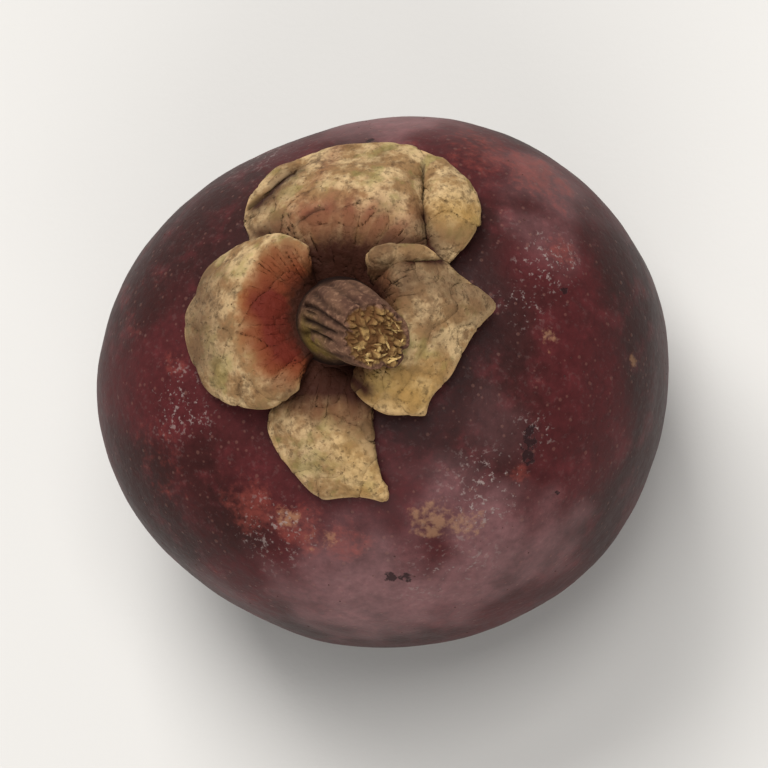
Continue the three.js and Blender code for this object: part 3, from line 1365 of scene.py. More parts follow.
@dataclass
class Sepal:
    """One sepal: a leathery sheet on spokes, as on an umbrella, from the receptacle over a crest to its rim.

    Lengths are in millimetres here, because the folds and spokes are written in them.
    """

    node: str
    foot_lift: float
    crest_at: float
    foot_spread: float
    spokes: tuple[Spoke, ...]
    folds: tuple[Fold, ...] = ()
    creases: tuple[Fold, ...] = ()
    patches: tuple[Patch, ...] = ()
    corners: tuple[Corner, ...] = ()
    seed: int = 1

    # The run of the sheet: its waist, its crest, the end that the stalk hides, its foot and its rim.
    corner_power: float = 1.5
    crest_limit: float = 0.7
    waist: float = 1.0
    waist_power: float = 1.2
    # shade_out moves the start of the inner wall, and with it the painted wall shade, out past the crest.
    shade_out: float = 0.0
    hidden: float = 3.9
    foot: float = 5.0
    clear: float = 1.1
    thickness: float = 1.5
    edge_round: float = 1.0
    edge_power: int = 3
    edge_least: float = 1e-6
    fillet: float = 0.4
    fillet_reach: tuple[float, float] = (0.2, 0.6)

    # Its relief. It is weaker down the inner wall.
    waves: tuple[Ripple, ...] = (Ripple(0.3, 5.0, 0), Ripple(0.12, 2.1, 1))
    wrinkle: Wrinkle = Wrinkle(3.4, 0.08, 6)
    wrinkle_depth: float = 0.16
    inner_relief: float = 0.35
    wall_teeth: Comb = Comb(0.22, 11, (0.0, 0.3), (1.0, 0.7))
    pleats: Comb = Comb(0.05, 46, (0.15, 0.3), (0.75, 0.5))
    teeth_outwards: float = 0.2
    teeth_series: int = 2
    rim_waves: Ripple = Ripple(0.5, 3.2, 3)
    rim_power: int = 6
    rim_sink: float = 0.15
    grain: tuple[Ripple, ...] = (Ripple(0.07, 0.8, 4), Ripple(0.05, 0.45, 5))
    under_grain: float = 0.5

    # The numbers for its finish.
    wrinkle_shade: float = 0.3
    rim_width: float = 0.45
    stripes: Band = (-0.3, 0.5)
    patch_wander: Ripple = Ripple(0.5, 2.0, 7)
    blush_wall: Band = (-0.3, 0.3)
    blush_least: float = 0.3

    # How many points its grid has.
    across: int = 210
    along: int = 110

    def build(self, rind: Rind, material: bpy.types.Material) -> bpy.types.Object:
        """Makes the fine sheet.

        Args:
            rind: What the sepal lies on.
            material: Its finish.

        Returns:
            The sepal.
        """
        share = np.linspace(0, 1, self.across)
        outwards = np.sin(np.linspace(0, math.pi / 2, self.along))
        across, outwards = np.meshgrid((1 - np.cos(math.pi * share)) / 2, outwards, indexing="ij")
        middle, wall, along = self.middle(rind, across, outwards)
        middle = self.rippled(middle, wall, along)
        edge = self.from_edge(middle)
        made = linked(self.node + "_skin", self.sheet(middle, edge, self.marks(middle, wall, edge)))
        made.data.materials.append(material)
        return made

    def sunk(self, folds: Sequence[Fold], x: np.ndarray, y: np.ndarray) -> np.ndarray:
        """How deep some folds are together at each point."""
        return sum((f.depth * f.share(x, y) for f in folds), np.zeros_like(x))

    def middle(
        self, rind: Rind, across: np.ndarray, outwards: np.ndarray
    ) -> tuple[np.ndarray, np.ndarray, np.ndarray]:
        """Works out the middle of the sheet.

        Args:
            rind: What the sepal lies on.
            across: From 0 to 1 over the spokes, at each point of the grid.
            outwards: From 0 at the end that the stalk hides to 1 at the rim.

        Returns:
            The points, how far down the inner wall each is, from 0 at the crest to 1 at the foot and more
            below it, and how far out it is, from 0 at the foot to 1 at the rim.
        """
        names = ("at", "reach", "crest", "rim")
        at, reach, crest, rim = (through([getattr(k, name) for k in self.spokes], across) for name in names)
        drawn = (c.reach * np.exp(-np.abs((at - c.at) / c.width) ** self.corner_power) for c in self.corners)
        reach = reach + sum(drawn, np.zeros_like(at))
        out = self.hidden + (reach - self.hidden) * outwards
        along = (out - self.foot) / (reach - self.foot)
        middle = (self.spokes[0].at + self.spokes[-1].at) / 2
        spread = self.foot_spread + (1 - self.foot_spread) * smoothstep(along, 0, 1)
        spread = spread * (1 + (self.waist - 1) * np.sin(math.pi * np.clip(along, 0, 1) ** self.waist_power))
        azimuth = np.radians(middle + (at - middle) * spread)
        crest_at = np.minimum(self.crest_at, self.foot + (reach - self.foot) * self.crest_limit)
        inside = np.minimum((out - self.foot) / (crest_at - self.foot), 1)
        outside = np.maximum((out - crest_at) / (reach - crest_at), 0)
        rise = (crest - self.foot_lift) * np.sin(inside * math.pi / 2)
        fall = (crest - rim) * (1 - np.cos(outside * math.pi / 2))
        x, y = out * np.cos(azimuth), out * np.sin(azimuth)
        lift = np.maximum(self.foot_lift + rise - fall - self.sunk(self.folds, x, y), self.clear)
        inner, outer = self.fillet_reach
        lift = lift + self.fillet * (1 - smoothstep(out, self.hidden - inner, self.foot + outer))
        z = rind.top(out * MM, azimuth) / MM + lift
        wall = (crest_at + self.shade_out - out) / (crest_at + self.shade_out - self.foot)
        return np.stack([x, y, z], axis=-1), np.maximum(wall, 0), along

    def rippled(self, middle: np.ndarray, wall: np.ndarray, along: np.ndarray) -> np.ndarray:
        """Gives the sheet its slow waves, its wrinkles, the furrows down its inner wall and its wavy rim.

        Args:
            middle: The middle surface.
            wall: How far down the inner wall each point is.
            along: How far out it is.

        Returns:
            The middle surface with all of them.
        """
        outer = 1 - np.minimum(wall, 1)
        waves = sum(wave.at(middle, self.seed) for wave in self.waves)
        uneven = waves - self.wrinkle_depth * self.wrinkle.at(middle, self.seed)
        furrows = self.furrowed(middle, self.wall_teeth, wall)
        pleats = self.furrowed(middle, self.pleats, along)
        rim = self.rim_waves.at(middle, self.seed) * np.maximum(along, 0) ** self.rim_power
        relief = uneven * (self.inner_relief + (1 - self.inner_relief) * outer) + furrows + pleats
        relief = relief + np.maximum(rim, -self.rim_sink)
        return middle + normals(middle) * relief[..., None]

    def furrowed(self, middle: np.ndarray, comb: Comb, way: np.ndarray) -> np.ndarray:
        """How high the furrows of a comb raise the surface, with way for how far on each point is."""
        height = comb.depth * self.combed(middle, comb.teeth)
        return height * smoothstep(way, *comb.comes) * smoothstep(way, *comb.goes)

    def combed(self, middle: np.ndarray, teeth: float) -> np.ndarray:
        """Noise that is drawn out along the spokes.

        Args:
            middle: The middle surface.
            teeth: How many bumps there are to a radian.

        Returns:
            The noise from -1 to 1 at each point.
        """
        turn = np.arctan2(middle[..., 1], middle[..., 0])
        out = np.hypot(middle[..., 0], middle[..., 1])
        drawn = np.stack([turn * teeth, out * self.teeth_outwards, np.zeros_like(turn)], axis=-1)
        return ripples(drawn, 1.0, self.seed + self.teeth_series)

    def from_edge(self, middle: np.ndarray) -> np.ndarray:
        """Measures to the nearest free edge, rounded off at the corners.

        Args:
            middle: The middle surface.

        Returns:
            How far each point is from it.
        """
        sideways = np.linalg.norm(np.diff(middle, axis=0), axis=-1)
        outwards = np.linalg.norm(np.diff(middle, axis=1), axis=-1)
        first = np.pad(np.cumsum(sideways, axis=0), ((1, 0), (0, 0)))
        rim = np.pad(np.cumsum(outwards[:, ::-1], axis=1), ((0, 0), (1, 0)))[:, ::-1]
        sides = np.stack([first, first[-1:] - first, rim])
        near = np.sum(np.maximum(sides, self.edge_least) ** -self.edge_power, axis=0)
        return near ** (-1 / self.edge_power)

    def marks(self, middle: np.ndarray, wall: np.ndarray, edge: np.ndarray) -> dict[str, np.ndarray]:
        """Works out the numbers that the finish reads.

        Args:
            middle: The middle surface.
            wall: How far down the inner wall each point is.
            edge: How far it is from the free edge.

        Returns:
            The numbers at each point of the grid, by their names.
        """
        x, y = middle[..., 0], middle[..., 1]
        # The creases and the wrinkles get painted shade.
        line = sum((c.share(x, y) for c in self.creases), np.zeros_like(x))
        wrinkle = self.wrinkle.at(middle, self.seed) * self.wrinkle_shade
        marks = {"wall": wall, "rim": hump(edge, self.rim_width), "crease_shade": np.clip(line + wrinkle, 0, 1)}
        marks["stripe"] = smoothstep(self.combed(middle, self.wall_teeth.teeth), *self.stripes)
        wander = 1 + self.patch_wander.at(middle, self.seed)
        for shade in Shade:
            shares = [p.strength * p.share(x, y, wander) for p in self.patches if p.shade is shade]
            marks[shade.value] = np.clip(np.max([np.zeros_like(x), *shares], axis=0), 0, 1)
        deep = smoothstep(wall, *self.blush_wall)
        marks[Shade.BLUSH.value] *= deep * (1 - self.blush_least) + self.blush_least
        return marks

    def sheet(self, middle: np.ndarray, edge: np.ndarray, marks: dict[str, np.ndarray]) -> bpy.types.Mesh:
        """Gives the middle surface its thickness, with round rims and sunk creases.

        Args:
            middle: The middle surface.
            edge: How far each point is from the free edge.
            marks: The numbers for the finish, on the same grid.

        Returns:
            A closed mesh, in metres.
        """
        normal = normals(middle)
        share = np.clip((edge - 2 * self.edge_least) / self.edge_round, 0, 1)
        half = self.thickness / 2 * np.sqrt(np.clip(1 - (1 - share) ** 2, 0, 1))
        sunk = self.sunk(self.creases, middle[..., 0], middle[..., 1])
        skin = sum(ripple.at(middle, self.seed) for ripple in self.grain)
        upper = middle + normal * (half - (sunk - skin) * share)[..., None]
        lower = middle - normal * (half + skin * share * self.under_grain)[..., None]
        count, columns = middle[..., 0].size, middle.shape[1]
        top, under = grid_faces(self.across, self.along), grid_faces(self.across, self.along, count)[:, ::-1]
        foot = [[i, i + columns, count + i + columns, count + i] for i in range(0, count - columns, columns)]
        points = np.concatenate([upper.reshape(-1, 3), lower.reshape(-1, 3)]) * MM
        both = {name: np.tile(values.ravel(), 2) for name, values in marks.items()}
        mesh = smooth_mesh(self.node + "_skin", points, top.tolist() + under.tolist() + foot, both)
        weld(mesh)
        return mesh


def normals(grid: np.ndarray) -> np.ndarray:
    """Finds which way a surface faces.

    Args:
        grid: Its points, in rows that run outwards and follow each other round the axis.

    Returns:
        The upward unit normal at each of them.
    """
    sideways, outwards = np.gradient(grid, axis=0), np.gradient(grid, axis=1)
    cross = np.cross(outwards, sideways)
    return cross / np.maximum(np.linalg.norm(cross, axis=-1, keepdims=True), TINY)


def weld(mesh: bpy.types.Mesh, gap: float = 1e-7) -> None:
    """Joins points that lie on each other, where two skins meet in one edge.

    Args:
        mesh: The mesh.
        gap: How far apart they may be.
    """
    work = bmesh.new()
    work.from_mesh(mesh)
    bmesh.ops.remove_doubles(work, verts=work.verts, dist=gap)
    work.to_mesh(mesh)
    work.free()


def calyx() -> tuple[Sepal, ...]:
    """Lists the four sepals: the outer pair lies on the rind and the inner pair over it.

    Returns:
        The far, the near, the left and the right one.
    """
    far = Sepal(
        node="sepal_outer_far",
        foot_lift=1.1,
        crest_at=11.0,
        foot_spread=0.85,
        spokes=(
            Spoke(26, 10.5, 1.5, 1.3),
            Spoke(32, 16.2, 2.1, 1.5),
            Spoke(42, 19.8, 3.2, 1.4),
            Spoke(62, 21.2, 3.9, 1.3),
            Spoke(85, 20.7, 4.2, 1.3),
            Spoke(115, 20.0, 3.2, 1.2),
            Spoke(130, 16.8, 1.7, 1.2),
            Spoke(137, 12.0, 1.3, 1.2),
        ),
        folds=(
            Fold((8.3, 18.5), (9.5, 8.3), 1.0, 1.4),
            Fold((11.8, 14.6), (13.4, 9.6), 2.0, -0.6),
            Fold((-10.4, 13.4), (-4.6, 18.2), 0.8, 0.9),
            Fold((-4.0, 9.8), (-1.6, 11.0), 0.45, -0.45),
        ),
        creases=(
            Fold((8.3, 17.6), (9.5, 8.0), 0.28, 0.7),
            Fold((-10.2, 13.6), (-5.0, 17.9), 0.25, 0.6),
            Fold((-3.8, 10.8), (-1.3, 11.9), 0.25, 0.45),
        ),
        patches=(
            Patch((-3.5, 11.6), (6.5, 10.8), 2.4, Shade.BLUSH),
            Patch((-1.2, 20.0), (-2.1, 15.0), 0.9, Shade.BLUSH, 0.9),
            Patch((12.4, 11.4), (14.4, 10.4), 2.6, Shade.GOLD),
            # Grey brown patches: partly the sepal's tone and partly painted shade.
            Patch((-8.5, 13.0), (-6.2, 16.2), 1.6, Shade.DUSK_AND_SHADE, 0.8),
            Patch((-8.8, 10.2), (-6.2, 10.8), 1.5, Shade.DUSK_AND_SHADE),
            Patch((10.4, 8.2), (13.2, 9.0), 1.8, Shade.DUSK_AND_SHADE, 0.85),
            Patch((6.8, 9.4), (8.8, 8.6), 1.3, Shade.DUSK_AND_SHADE, 0.8),
            # Painted shade in the creases and where the inner sepals lie over this one.
            Patch((-9.0, 13.6), (-5.4, 17.3), 0.8, Shade.HOLLOW_SHADE, 1.2),
            Patch((9.1, 11.0), (9.9, 7.0), 0.9, Shade.HOLLOW_SHADE, 1.35),
            Patch((-8.2, 10.3), (-3.0, 8.4), 0.7, Shade.HOLLOW_SHADE, 0.75),
            Patch((4.4, 7.9), (9.8, 8.2), 0.8, Shade.HOLLOW_SHADE, 0.8),
        ),
        shade_out=1.8,
        pleats=Comb(0.12, 46, (0.15, 0.3), (0.75, 0.5)),
        seed=11,
    )
    near = Sepal(
        node="sepal_outer_near",
        foot_lift=1.1,
        crest_at=9.0,
        foot_spread=1.5,
        spokes=(
            Spoke(229, 10.5, 1.2, 1.2),
            Spoke(234, 13.6, 1.5, 1.2),
            Spoke(246, 15.6, 2.2, 1.2),
            Spoke(258, 17.6, 2.4, 1.2),
            Spoke(272, 18.3, 2.4, 1.3),
            Spoke(283, 18.7, 2.2, 1.6),
            Spoke(285, 17.6, 1.9, 1.5),
        ),
        patches=(
            Patch((1.0, -14.0), (3.0, -17.5), 3.0, Shade.GOLD, 0.6),
            # Grey brown patches: partly the sepal's tone and partly painted shade.
            Patch((1.0, -10.5), (4.5, -13.0), 2.0, Shade.DUSK_AND_SHADE, 0.9),
            Patch((-5.0, -13.0), (-2.0, -15.0), 3.0, Shade.DUSK_AND_SHADE, 0.3),
            # Painted shade near the stalk.
            Patch((-4.0, -7.0), (3.0, -7.8), 2.0, Shade.HOLLOW_SHADE, 1.2),
        ),
        shade_out=3.0,
        waist=0.82,
        corners=(Corner(283, 0.7, 4), Corner(263, 0.6, 5)),
        seed=23,
    )
    left = Sepal(
        node="sepal_inner_left",
        foot_lift=2.6,
        crest_at=9.8,
        foot_spread=0.9,
        spokes=(
            Spoke(110, 7.7, 5.6, 5.2),
            Spoke(124, 11.0, 5.8, 4.6),
            Spoke(137, 13.0, 5.6, 3.3),
            Spoke(152, 15.3, 5.4, 1.8),
            Spoke(176, 16.7, 5.2, 1.4),
            Spoke(203, 15.8, 5.0, 1.6),
            Spoke(226, 12.8, 5.0, 3.3),
            Spoke(243, 8.6, 4.4, 4.0),
        ),
        patches=(
            Patch((-4.6, 4.2), (-6.4, 3.0), 2.8, Shade.STAIN, 0.8),
            Patch((-7.0, 1.6), (-5.4, -3.4), 3.0, Shade.STAIN, 1.2),
            # Grey brown patches: partly the sepal's tone and partly painted shade.
            Patch((-9.0, -4.5), (-6.5, -7.5), 3.0, Shade.DUSK_AND_SHADE, 0.3),
            Patch((-5.6, -6.8), (-4.4, -7.6), 1.5, Shade.DUSK_AND_SHADE, 0.8),
            Patch((-14.5, 5.0), (-14.5, -3.0), 3.2, Shade.DUSK_AND_SHADE),
            Patch((-9.5, 10.0), (-7.0, 11.5), 1.6, Shade.DUSK_AND_SHADE, 0.5),
        ),
        shade_out=0.8,
        seed=37,
    )
    right = Sepal(
        node="sepal_inner_right",
        foot_lift=2.6,
        crest_at=8.3,
        foot_spread=0.8,
        spokes=(
            Spoke(-76, 7.7, 4.2, 4.0),
            Spoke(-64, 11.7, 4.6, 3.6),
            Spoke(-46, 12.9, 5.0, 3.0),
            Spoke(-16, 14.1, 5.6, 2.8),
            Spoke(5, 15.1, 5.8, 2.5),
            Spoke(20, 13.6, 6.0, 3.4),
            Spoke(33, 12.3, 6.2, 4.8),
            Spoke(45, 9.7, 6.6, 5.8),
            Spoke(58, 7.2, 6.2, 6.0),
        ),
        folds=(
            Fold((6.0, 4.5), (11.0, 5.6), 0.9, 0.7),
            Fold((8.2, 5.3), (11.4, 5.8), 0.4, 1.0),
            Fold((5.2, 5.8), (10.4, 6.5), 0.6, -0.5),
            Fold((4.4, 3.8), (6.2, 4.6), 0.9, 0.8),
            Fold((7.6, 4.2), (8.0, -1.0), 0.8, -0.4),
        ),
        creases=(Fold((8.0, 5.2), (11.4, 5.9), 0.35, 0.6),),
        corners=(Corner(-49, 1.5, 5), Corner(4, 1.7, 5)),
        patches=(
            # Grey brown patches: partly the sepal's tone and partly painted shade.
            Patch((8.0, 3.4), (15.5, 2.0), 3.2, Shade.DUSK_AND_SHADE),
            Patch((12.5, 3.4), (16.5, 1.6), 1.6, Shade.DUSK_AND_SHADE, 1.1),
            Patch((8.5, 1.0), (10.5, -2.5), 1.6, Shade.DUSK_AND_SHADE, 0.55),
            Patch((6.6, 3.4), (7.4, -1.5), 1.2, Shade.DUSK_AND_SHADE, 0.6),
            Patch((4.0, 5.8), (7.0, 6.4), 1.3, Shade.DUSK_AND_SHADE, 0.7),
            Patch((3.5, -7.4), (9.0, -8.6), 3.2, Shade.GOLD),
            # Painted shade in the curl, under the lip and near the stalk.
            Patch((3.8, 2.4), (5.8, 1.8), 1.6, Shade.HOLLOW_SHADE),
            Patch((3.6, 4.6), (6.0, 4.4), 1.2, Shade.HOLLOW_SHADE, 0.6),
            Patch((8.4, 4.9), (11.1, 5.3), 0.55, Shade.HOLLOW_SHADE, 1.5),
            Patch((1.2, -6.4), (3.6, -8.2), 0.9, Shade.HOLLOW_SHADE),
        ),
        seed=51,
    )
    return far, near, left, right


# ---- Stem ----


@dataclass(frozen=True)
class Station:
    """A place up the stalk: where its middle is, and its radius there, in millimetres."""

    x: float
    y: float
    z: float
    radius: float


@dataclass(frozen=True)
class Split:
    """A split down the bark: its azimuth, where it starts and ends, its width in radians and its strength."""

    at: float
    first: float
    last: float
    width: float
    strength: float


@dataclass(frozen=True)
class Grooving:
    """The lengthwise grooves of the bark: how many, and the limits of each one's course and size.

    Angles are radians round the stalk, and first and last are shares of the way along it.
    """

    count: int = 13
    stray: Band = (-0.35, 0.35)
    lean: Band = (-0.5, 0.5)
    bend: Band = (0.05, 0.2)
    phase: Band = (0, 6)
    bends: float = 7
    width: Band = (0.05, 0.11)
    strength: Band = (0.35, 1.0)
    first: Band = (0.15, 0.5)
    last: Band = (0.8, 1.2)
    fade: float = 0.12


@dataclass
class TornEnd:
    """The torn end of the stalk: a bed of fibre tufts that broke off at different heights, in millimetres."""

    # Its rings of points, from the bark to the middle.
    rings: int = 50
    inward_power: float = 0.9
    least_inward: float = 0.004

    # The tufts.
    tufts: int = 80
    tuft_spread: Band = (0, 0.95)
    tuft_edge: Band = (0.02, 0.35)
    tuft_height: Band = (-0.5, 0.45)
    tuft_shade: Band = (0.35, 1.0)
    depth: float = 0.35
    bulge: float = 0.5
    rough: Ripple = Ripple(0.14, 0.35, 2)
    fade: Band = (0.0, 0.1)

    # Its side with a painted highlight, where the tufts show more straw, and the ragged rim of bark round it.
    painted_highlight_side: tuple[float, float, float] = (0.7, -0.7, 0.0)
    pale: Band = (-1.0, 0.2)
    straw_away_from_highlight: float = 0.35
    rim: int = 7
    rim_wander: Ripple = Ripple(0.9, 1.1, 4)
    rim_edge: Band = (0.4, 1.0)
    seed: int = 5

    def build(self, last: np.ndarray, ahead: np.ndarray, radius: float) -> tuple[np.ndarray, np.ndarray]:
        """Makes the face.

        Args:
            last: The last ring of the bark.
            ahead: Which way the stalk points there.
            radius: The stalk's radius there.

        Returns:
            The rings of points from just inside the bark to the middle, and a number for each point that
            tells the tufts apart: 0 in the gaps between them.
        """
        chance = np.random.default_rng(self.seed)
        centre = last.mean(axis=0)
        inward = (1 - np.linspace(0, 1, self.rings + 1)[1:, None]) ** self.inward_power
        rings = centre + (last - centre) * np.maximum(inward, self.least_inward)[..., None]
        spot = chance.integers(0, len(last), self.tufts)
        spread = np.sqrt(chance.uniform(*self.tuft_spread, self.tufts))
        seeds = centre + (last[spot] - centre) * spread[:, None]
        away = np.linalg.norm(rings[:, :, None] - seeds, axis=-1)
        order = np.argsort(away, axis=-1)[..., :2]
        nearest = np.take_along_axis(away, order, axis=-1)
        inside = smoothstep(nearest[..., 1] - nearest[..., 0], *self.tuft_edge)
        tall = chance.uniform(*self.tuft_height, self.tufts)[order[..., 0]]
        bulge = self.bulge * (1 - inward**2)
        lift = inside * (tall - self.tuft_height[0]) - self.depth + self.rough.at(rings, self.seed) + bulge
        lift = lift * smoothstep(1 - inward, *self.fade)
        # Painted highlight: the tufts show more straw towards one side of the end.
        pale = smoothstep((rings - centre) @ np.array(self.painted_highlight_side) / radius, *self.pale)
        shades = chance.uniform(*self.tuft_shade, self.tufts)[order[..., 0]]
        tuft = inside * shades * (self.straw_away_from_highlight + (1 - self.straw_away_from_highlight) * pale)
        return rings + ahead * lift[..., None], tuft

    def cut(self, end: np.ndarray) -> np.ndarray:
        """Where the face shows its fibres: 0 in the ragged rim of bark and 1 inside it."""
        ragged = self.rim * (1 + self.rim_wander.at(end, self.seed))
        return smoothstep(np.arange(self.rings)[:, None] / ragged, *self.rim_edge)


@dataclass
class Fibres:
    """Torn strands that lie on the end of the stalk, each turned its own way."""

    finish: CorkFinish
    number: int = 32
    radius: float = 0.15 * MM
    detail: int = 3
    stretch: tuple[float, float, float] = (4.8, 1.0, 0.6)
    lean: Band = (-0.4, 0.4)
    turn: Band = (0.0, 6.28)
    size: Band = (0.5, 1.2)
    length: Band = (0.7, 1.4)
    rough: Relief = Relief("Roughness", 0.18 * MM, Cloud(0.5 * MM, 3, 2.0, 0.6))
    bend: Relief = Relief("Bend", 0.18 * MM, Cloud(1.3 * MM, 7, 1.0))

    # The part of the face that they lie on: how many rings in from its rim, from where round it, how far.
    inset: int = 6
    start: float = 9 / 16
    part: float = 5 / 8
    seed: int = 5

    def build(self, end: np.ndarray, rim: int, area: float) -> bpy.types.Object:
        """Grows the strands over a part of the torn face, clear of the bark.

        Args:
            end: The rings of points of the face, in millimetres.
            rim: How many of its rings are bark.
            area: The area of the whole face in square metres.

        Returns:
            The strands.
        """
        around = end.shape[1]
        columns = int(around * self.part)
        bed = np.roll(end[rim + self.inset :], -int(around * self.start), axis=1)[:, :columns]
        ground = smooth_mesh("stem_end", bed.reshape(-1, 3) * MM, grid_faces(len(bed), columns).tolist(), {})
        r = Recipe("stem_strands")
        points, flat = r.spread(self.number / area, r.size("Seed", self.seed))
        turned = r.tree.nodes.new("FunctionNodeRotateRotation")
        turned.rotation_space = "LOCAL"
        r.feed(turned.inputs["Rotation"], flat)
        lean = r.join(0.0, r.random(*self.lean, self.seed + 1), r.random(*self.turn, self.seed + 2))
        r.feed(turned.inputs["Rotate By"], lean)
        size = r.random(*self.size, self.seed + 3)
        scale = r.join(size * r.random(*self.length, self.seed + 4), size, size)
        strand = r.grain_ball(self.radius, self.detail, self.stretch)
        copies = r.copies(points, strand, Field(r, turned.outputs[0]), scale)
        real = r.call("GeometryNodeRealizeInstances", {"Geometry": copies})
        rough, bend = r.vector("SCALE", r.normal(), r.uneven(self.rough)), r.uneven(self.bend)
        offset = r.vector("ADD", rough, r.join(bend, -bend, bend))
        return r.grow(r.moved(real, offset), self.finish.material(), ground)


@dataclass
class Stem:
    """The stalk stub: a thick furrowed post that rises from its receptacle and bends over to a torn end.

    Lengths are in millimetres here, as for the sepals.
    """

    finish: StemFinish
    fibres: Fibres
    end: TornEnd
    stations: tuple[Station, ...] = (
        Station(0, 0, 51.35, 5.4),
        Station(0.1, -0.1, 52.7, 4.95),
        Station(0.3, -0.3, 54.3, 4.25),
        Station(0.8, -0.6, 56.4, 4.0),
        Station(2.2, -1.6, 58.8, 4.2),
        Station(4.1, -3.0, 60.4, 4.1),
        Station(6.1, -4.4, 61.4, 3.6),
    )
    splits: tuple[Split, ...] = (
        Split(168, 0.52, 0.72, 0.05, 0.6),
        Split(182, 0.46, 0.88, 0.09, 1.1),
        Split(197, 0.54, 0.84, 0.08, 1.0),
        Split(219, 0.42, 0.62, 0.05, 0.6),
    )
    split_fade: float = 0.1

    # The bark: its grooves, its ridges, and where it comes out of the smooth foot.
    grooving: Grooving = Grooving()
    groove_depth: float = 0.55
    bark_grown: Band = (0.2, 0.45)
    ridge: Ripple = Ripple(0.4, 1.0, 1)
    ridges_around: float = 1.7
    ridges_along: float = 1.3

    # How the end is cut.
    cut_lean: float = 27.0
    cut_back: float = 0.7
    cut_reach: Band = (0.3, 1.0)

    # The numbers for its finish.
    moss_azimuth: float = 222.0
    moss_width: float = 34.0
    moss_fade: Band = (0.9, 0.55)
    shadow: Band = (0.22, 0.46)
    shadow_moss: float = 0.75

    # How many points its grid has.
    around: int = 240
    along: int = 150
    seed: int = 5

    def build(self) -> tuple[bpy.types.Object, bpy.types.Object]:
        """Makes the stalk with its torn end.

        Returns:
            The stalk, and the strands that lie on its end.
        """
        share = np.linspace(0, 1, self.along)
        middle = np.stack([through([getattr(s, n) for s in self.stations], share) for n in "xyz"], axis=-1)
        ahead = np.gradient(middle, axis=0)
        ahead /= np.linalg.norm(ahead, axis=1, keepdims=True)
        one, other = self.frames(ahead)
        turn = np.linspace(0, 2 * math.pi, self.around, endpoint=False)
        outward = one[:, None] * np.cos(turn)[None, :, None] + other[:, None] * np.sin(turn)[None, :, None]
        grown = smoothstep(share, *self.bark_grown)[:, None]
        groove = self.grooved(turn, share) * grown
        reach = self.reach(turn, share, groove, grown)
        side = middle[:, None] + outward * reach[..., None]
        side -= self.cut_off(share, reach, outward, ahead)
        facing = np.degrees(np.arctan2(outward[..., 1], outward[..., 0]))
        moss = hump(centred(facing - self.moss_azimuth, 360), self.moss_width)
        moss = moss * grown * smoothstep(share, *self.moss_fade)[:, None]
        # Painted shadow near the foot, weaker on the mossy side.
        low = (1 - smoothstep(share, *self.shadow))[:, None] * (1 - self.shadow_moss * moss)
        radius = self.stations[-1].radius
        end, tuft = self.end.build(side[-1], ahead[-1], radius)
        bark = self.joined(side, end, {"groove": groove, "side": moss, "low": low}, tuft)
        return bark, self.fibres.build(end, self.end.rim, math.pi * (radius * MM) ** 2)

    def reach(self, turn: np.ndarray, share: np.ndarray, groove: np.ndarray, grown: np.ndarray) -> np.ndarray:
        """Works out how far the bark is from the stalk's middle.

        Args:
            turn: The angles round the stalk.
            share: The steps along it, from 0 to 1.
            groove: How deep the grooves are at each point.
            grown: How far the bark has come out of the smooth foot at each step.

        Returns:
            The distance at each point.
        """
        radius = through([s.radius for s in self.stations], share)
        ring = np.stack([np.cos(turn), np.sin(turn), np.zeros_like(turn)], axis=-1)
        comb = ring * self.ridges_around + np.array([0, 0, 1.0]) * (share * self.ridges_along)[:, None, None]
        return radius[:, None] + (self.ridge.at(comb, self.seed) - self.groove_depth * groove) * grown

    def cut_off(
        self, share: np.ndarray, reach: np.ndarray, outward: np.ndarray, ahead: np.ndarray
    ) -> np.ndarray:
        """Works out how far the bark is drawn back, so that the torn end leans.

        Args:
            share: The steps along the stalk, from 0 to 1.
            reach: How far each point is from the stalk's middle.
            outward: Which way it lies from there.
            ahead: Which way the stalk runs at each step.

        Returns:
            The offset of each point.
        """
        up = np.array([0, 0, 1.0]) - ahead[-1] * ahead[-1][2]
        up /= np.linalg.norm(up)
        back = self.cut_back + math.tan(math.radians(self.cut_lean)) * reach * (outward @ up)
        return ahead[:, None] * (back * smoothstep(share, *self.cut_reach)[:, None])[..., None]

    def grooved(self, turn: np.ndarray, share: np.ndarray) -> np.ndarray:
        """Draws the lengthwise grooves and the splits.

        Args:
            turn: The angles round the stalk.
            share: The steps along it, from 0 to 1.

        Returns:
            How deep they are at each point, 1 for a full groove.
        """
        chance = np.random.default_rng(self.seed)
        g = self.grooving
        depth = np.zeros((len(share), len(turn)))
        for number in range(g.count):
            start = 2 * math.pi * (number + chance.uniform(*g.stray)) / g.count
            lean, bend, phase = chance.uniform(*g.lean), chance.uniform(*g.bend), chance.uniform(*g.phase)
            width, strength = chance.uniform(*g.width), chance.uniform(*g.strength)
            first, last = chance.uniform(*g.first), chance.uniform(*g.last)
            centre = start + lean * (share - 0.5) + bend * np.sin(phase + share * g.bends)
            line = self.trough(turn, centre[:, None], width) * self.stretch(share, first, last, g.fade)
            depth = np.maximum(depth, strength * line)
        for split in self.splits:
            line = self.trough(turn, math.radians(split.at), split.width)
            line = line * self.stretch(share, split.first, split.last, self.split_fade)
            depth = np.maximum(depth, split.strength * line)
        return depth

    def trough(self, turn: np.ndarray, centre: float | np.ndarray, width: float) -> np.ndarray:
        """1 at an angle round the stalk, falling to 0 over a width to either side of it."""
        return hump(centred(turn - centre, 2 * math.pi), width)

    def stretch(self, share: np.ndarray, first: float, last: float, fade: float) -> np.ndarray:
        """1 between two places along the stalk, fading to 0 beyond each."""
        return (smoothstep(share, first, first + fade) * (1 - smoothstep(share, last, last + fade)))[:, None]

